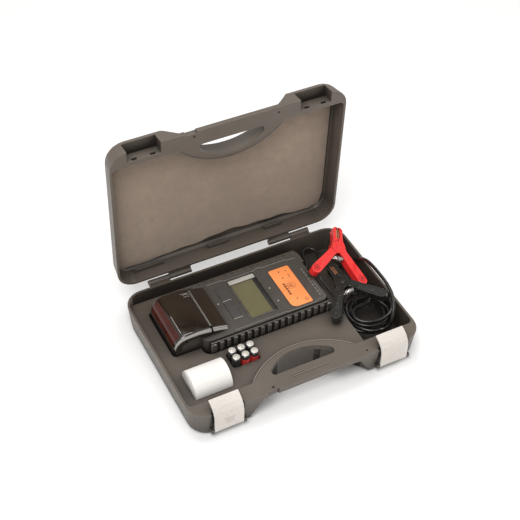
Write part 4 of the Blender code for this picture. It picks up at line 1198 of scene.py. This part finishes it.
def make_roll_details():
    """The paper's layers at the ends of the spare roll, its loose edge, and the cores of both rolls."""
    left, right, y, z = -167.15, -108.35, -66, 39
    bm = bmesh.new()
    for x in (left, right):
        for k in range(11):
            layer = circle((y, z), 9.2 + 1.5 * k, 0, 352, 40)
            wire(bm, [(x, a, b) for a, b in layer], 0.12, 4)
    for x in (left + 0.4, right - 1.4):
        drum(bm, 8.2, (x, y, z), (x + 1.0, y, z), 32)
    add("spare_roll_layers", bm, "paper", "spare_roll")
    roll_core("spare_roll_core", "spare_roll", (-137.75, y, z), (29.0, 0, 0), 7.9)
    roll_core("printer_roll_core", "printer_roll", (-132.0, 43.0, 45.5), (0, 28.8, 0), 5.9)
    edge_y, edge_z = y + 25.02 * math.cos(2.3), z + 25.02 * math.sin(2.3)
    bm = bmesh.new()
    wire(bm, [(-166.8, edge_y, edge_z), (-108.7, edge_y, edge_z)], 0.1, 4)
    add("spare_roll_loose_edge", bm, "paper_end", "spare_roll")


# ---- clamps

# Each clamp's pivot, the way its jaws point, the way its pin points, and which side moves
CLAMPS = {
    "red": ((156.0, 72.0, RIM + 9.6), (0.455, 0.89, 0.15), (0.257, -0.292, 0.921), -1),
    "black": ((127.5, 3.5, RIM + 7.0), (0.03, 0.999, -0.02), (-0.17, 0.02, 0.985), 1),
}


def clamp_place(word):
    """The clamp's own frame: x along the jaws, z along the pin."""
    at, along, up = (Vector(v) for v in CLAMPS[word][:3])
    x = along.normalized()
    z = (up - up.dot(x) * x).normalized()
    return Matrix.Translation(at) @ Matrix((x, z.cross(x), z)).transposed().to_4x4()


def on_clamp(bm, word):
    bmesh.ops.transform(bm, matrix=clamp_place(word), verts=bm.verts)
    return bm


def make_clamp_springs(word):
    """The leg spring round the pin, and the press spring between the handles."""
    bm = bmesh.new()
    wire(bm, helix(6.3, 3.8, 4.5, 150), 0.62, 7)
    for side in (-1, 1):
        leg = ((-5.2, 3.6, 1.6), (-10.5, 7.2, 1.2), (-17.5, 10.6, 0.4))
        wire(bm, [(x, side * y, side * z) for x, y, z in leg], 0.7, 8)
    spring = add(f"{word}_clamp_spring_wire", on_clamp(bm, word), "spring", "tester")
    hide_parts(f"{word}_clamp_spring")
    bm = bmesh.new()
    wire(bm, [(a - 19.0, along, b) for a, b, along in helix(4.3, 15.2, 6, 120)], 0.75, 8)
    press = add(f"{word}_clamp_press_spring", on_clamp(bm, word), "spring", "tester")
    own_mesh(press)


def make_clamp_half(word, side, body):
    """Teeth on the contact, ribs on the handle, and at the handle's end a dark disc and frame of painted
    recess shade.
    """
    letter = "a" if side < 0 else "b"
    bm = bmesh.new()
    for k in range(9):
        x = 20.0 + 2.0 * k
        drum(bm, 1.1, (x, side * 1.5, -3.8), (x, side * 1.5, 3.8), 3)
    add(f"{word}_contact_teeth_{letter}", on_clamp(bm, word), "copper", body)
    bm = bmesh.new()
    for k in range(6):
        x, y = -24.0 - 3.4 * k, side * (17.5 + 2.9 * k)
        brick(bm, (x - 0.7, y - 3.8, 5.7), (x + 0.7, y + 3.8, 6.25), 0.2)
    add(f"{word}_handle_ribs_{letter}", on_clamp(bm, word), word, body)
    # Painted shade: a dark disc and frame at the handle's end stand for the shade of a recess there.
    x, y = -50.5, side * 39.0
    frame_line = [(x + a, y + side * b, 6.1) for a, b in round_box(-4.6, -4.6, 4.6, 4.6, 1.6)]
    bm = bmesh.new()
    drum(bm, 2.4, (x, y, 5.8), (x, y, 6.35), 24)
    wire(bm, frame_line, 0.35, 6, closed=True)
    recess_shade_look = "red_shade" if word == "red" else "dark"
    add(f"{word}_handle_recess_shade_{letter}", on_clamp(bm, word), recess_shade_look, body)


def make_clamp_details():
    for word, values in CLAMPS.items():
        moving = values[3]
        make_clamp_springs(word)
        bm = bmesh.new()
        for end in (-1, 1):
            drum(bm, 3.2, (0, 0, end * 5.9), (0, 0, end * 6.3), 28, 0.15)
        add(f"{word}_clamp_rivet", on_clamp(bm, word), word, "tester")
        for side in (-1, 1):
            make_clamp_half(word, side, f"{word}_clamp_jaw" if side == moving else "tester")


# ---- stage


def make_floor():
    reach = 6.0
    corners = [(-reach, -reach, 0), (reach, -reach, 0), (reach, reach, 0), (-reach, reach, 0)]
    mesh = bpy.data.meshes.new("floor")
    mesh.from_pydata(corners, [], [(0, 1, 2, 3)])
    n = Nodes("floor_pale")
    n.cloudy(3.0, 3.0, (0.93, 0.925, 0.92), (0.95, 0.945, 0.94))
    n.set(Roughness=0.9, Specular_IOR_Level=0.1)
    mesh.materials.append(n.material)
    floor = bpy.data.objects.new("floor", mesh)
    bpy.context.scene.collection.objects.link(floor)


def make_light(name, at, power):
    """A square lamp, 1 m across, aimed at the case."""
    data = bpy.data.lights.new(name, "AREA")
    data.size = 1.0
    data.energy = power
    lamp = bpy.data.objects.new(name, data)
    bpy.context.scene.collection.objects.link(lamp)
    lamp.location = at
    lamp.rotation_euler = (Vector((0, 0, 0.1)) - Vector(at)).to_track_quat("-Z", "Y").to_euler()


def make_stage():
    bpy.context.scene.view_settings.view_transform = "Standard"
    world = bpy.data.worlds.new("studio")
    world.use_nodes = True
    background = world.node_tree.nodes["Background"]
    background.inputs["Color"].default_value = (1.0, 0.99, 0.975, 1.0)
    background.inputs["Strength"].default_value = 0.6
    bpy.context.scene.world = world
    make_floor()
    make_light("key_light", (-0.75, -0.8, 2.0), 26.0)
    make_light("side_light", (1.4, -0.4, 1.5), 6.0)
    make_light("top_light", (-0.1, 0.7, 2.3), 14.0)


make_camera()
LOOKS = make_materials()
make_leads()
dress_nodes()
make_base_rim()
make_lid_rim()
make_case_details()
make_lining()
make_face_details()
make_label_marks()
make_underside_details()
make_inside_details()
make_grips()
make_printer_details()
make_cell_details()
make_roll_details()
make_clamp_details()
make_stage()
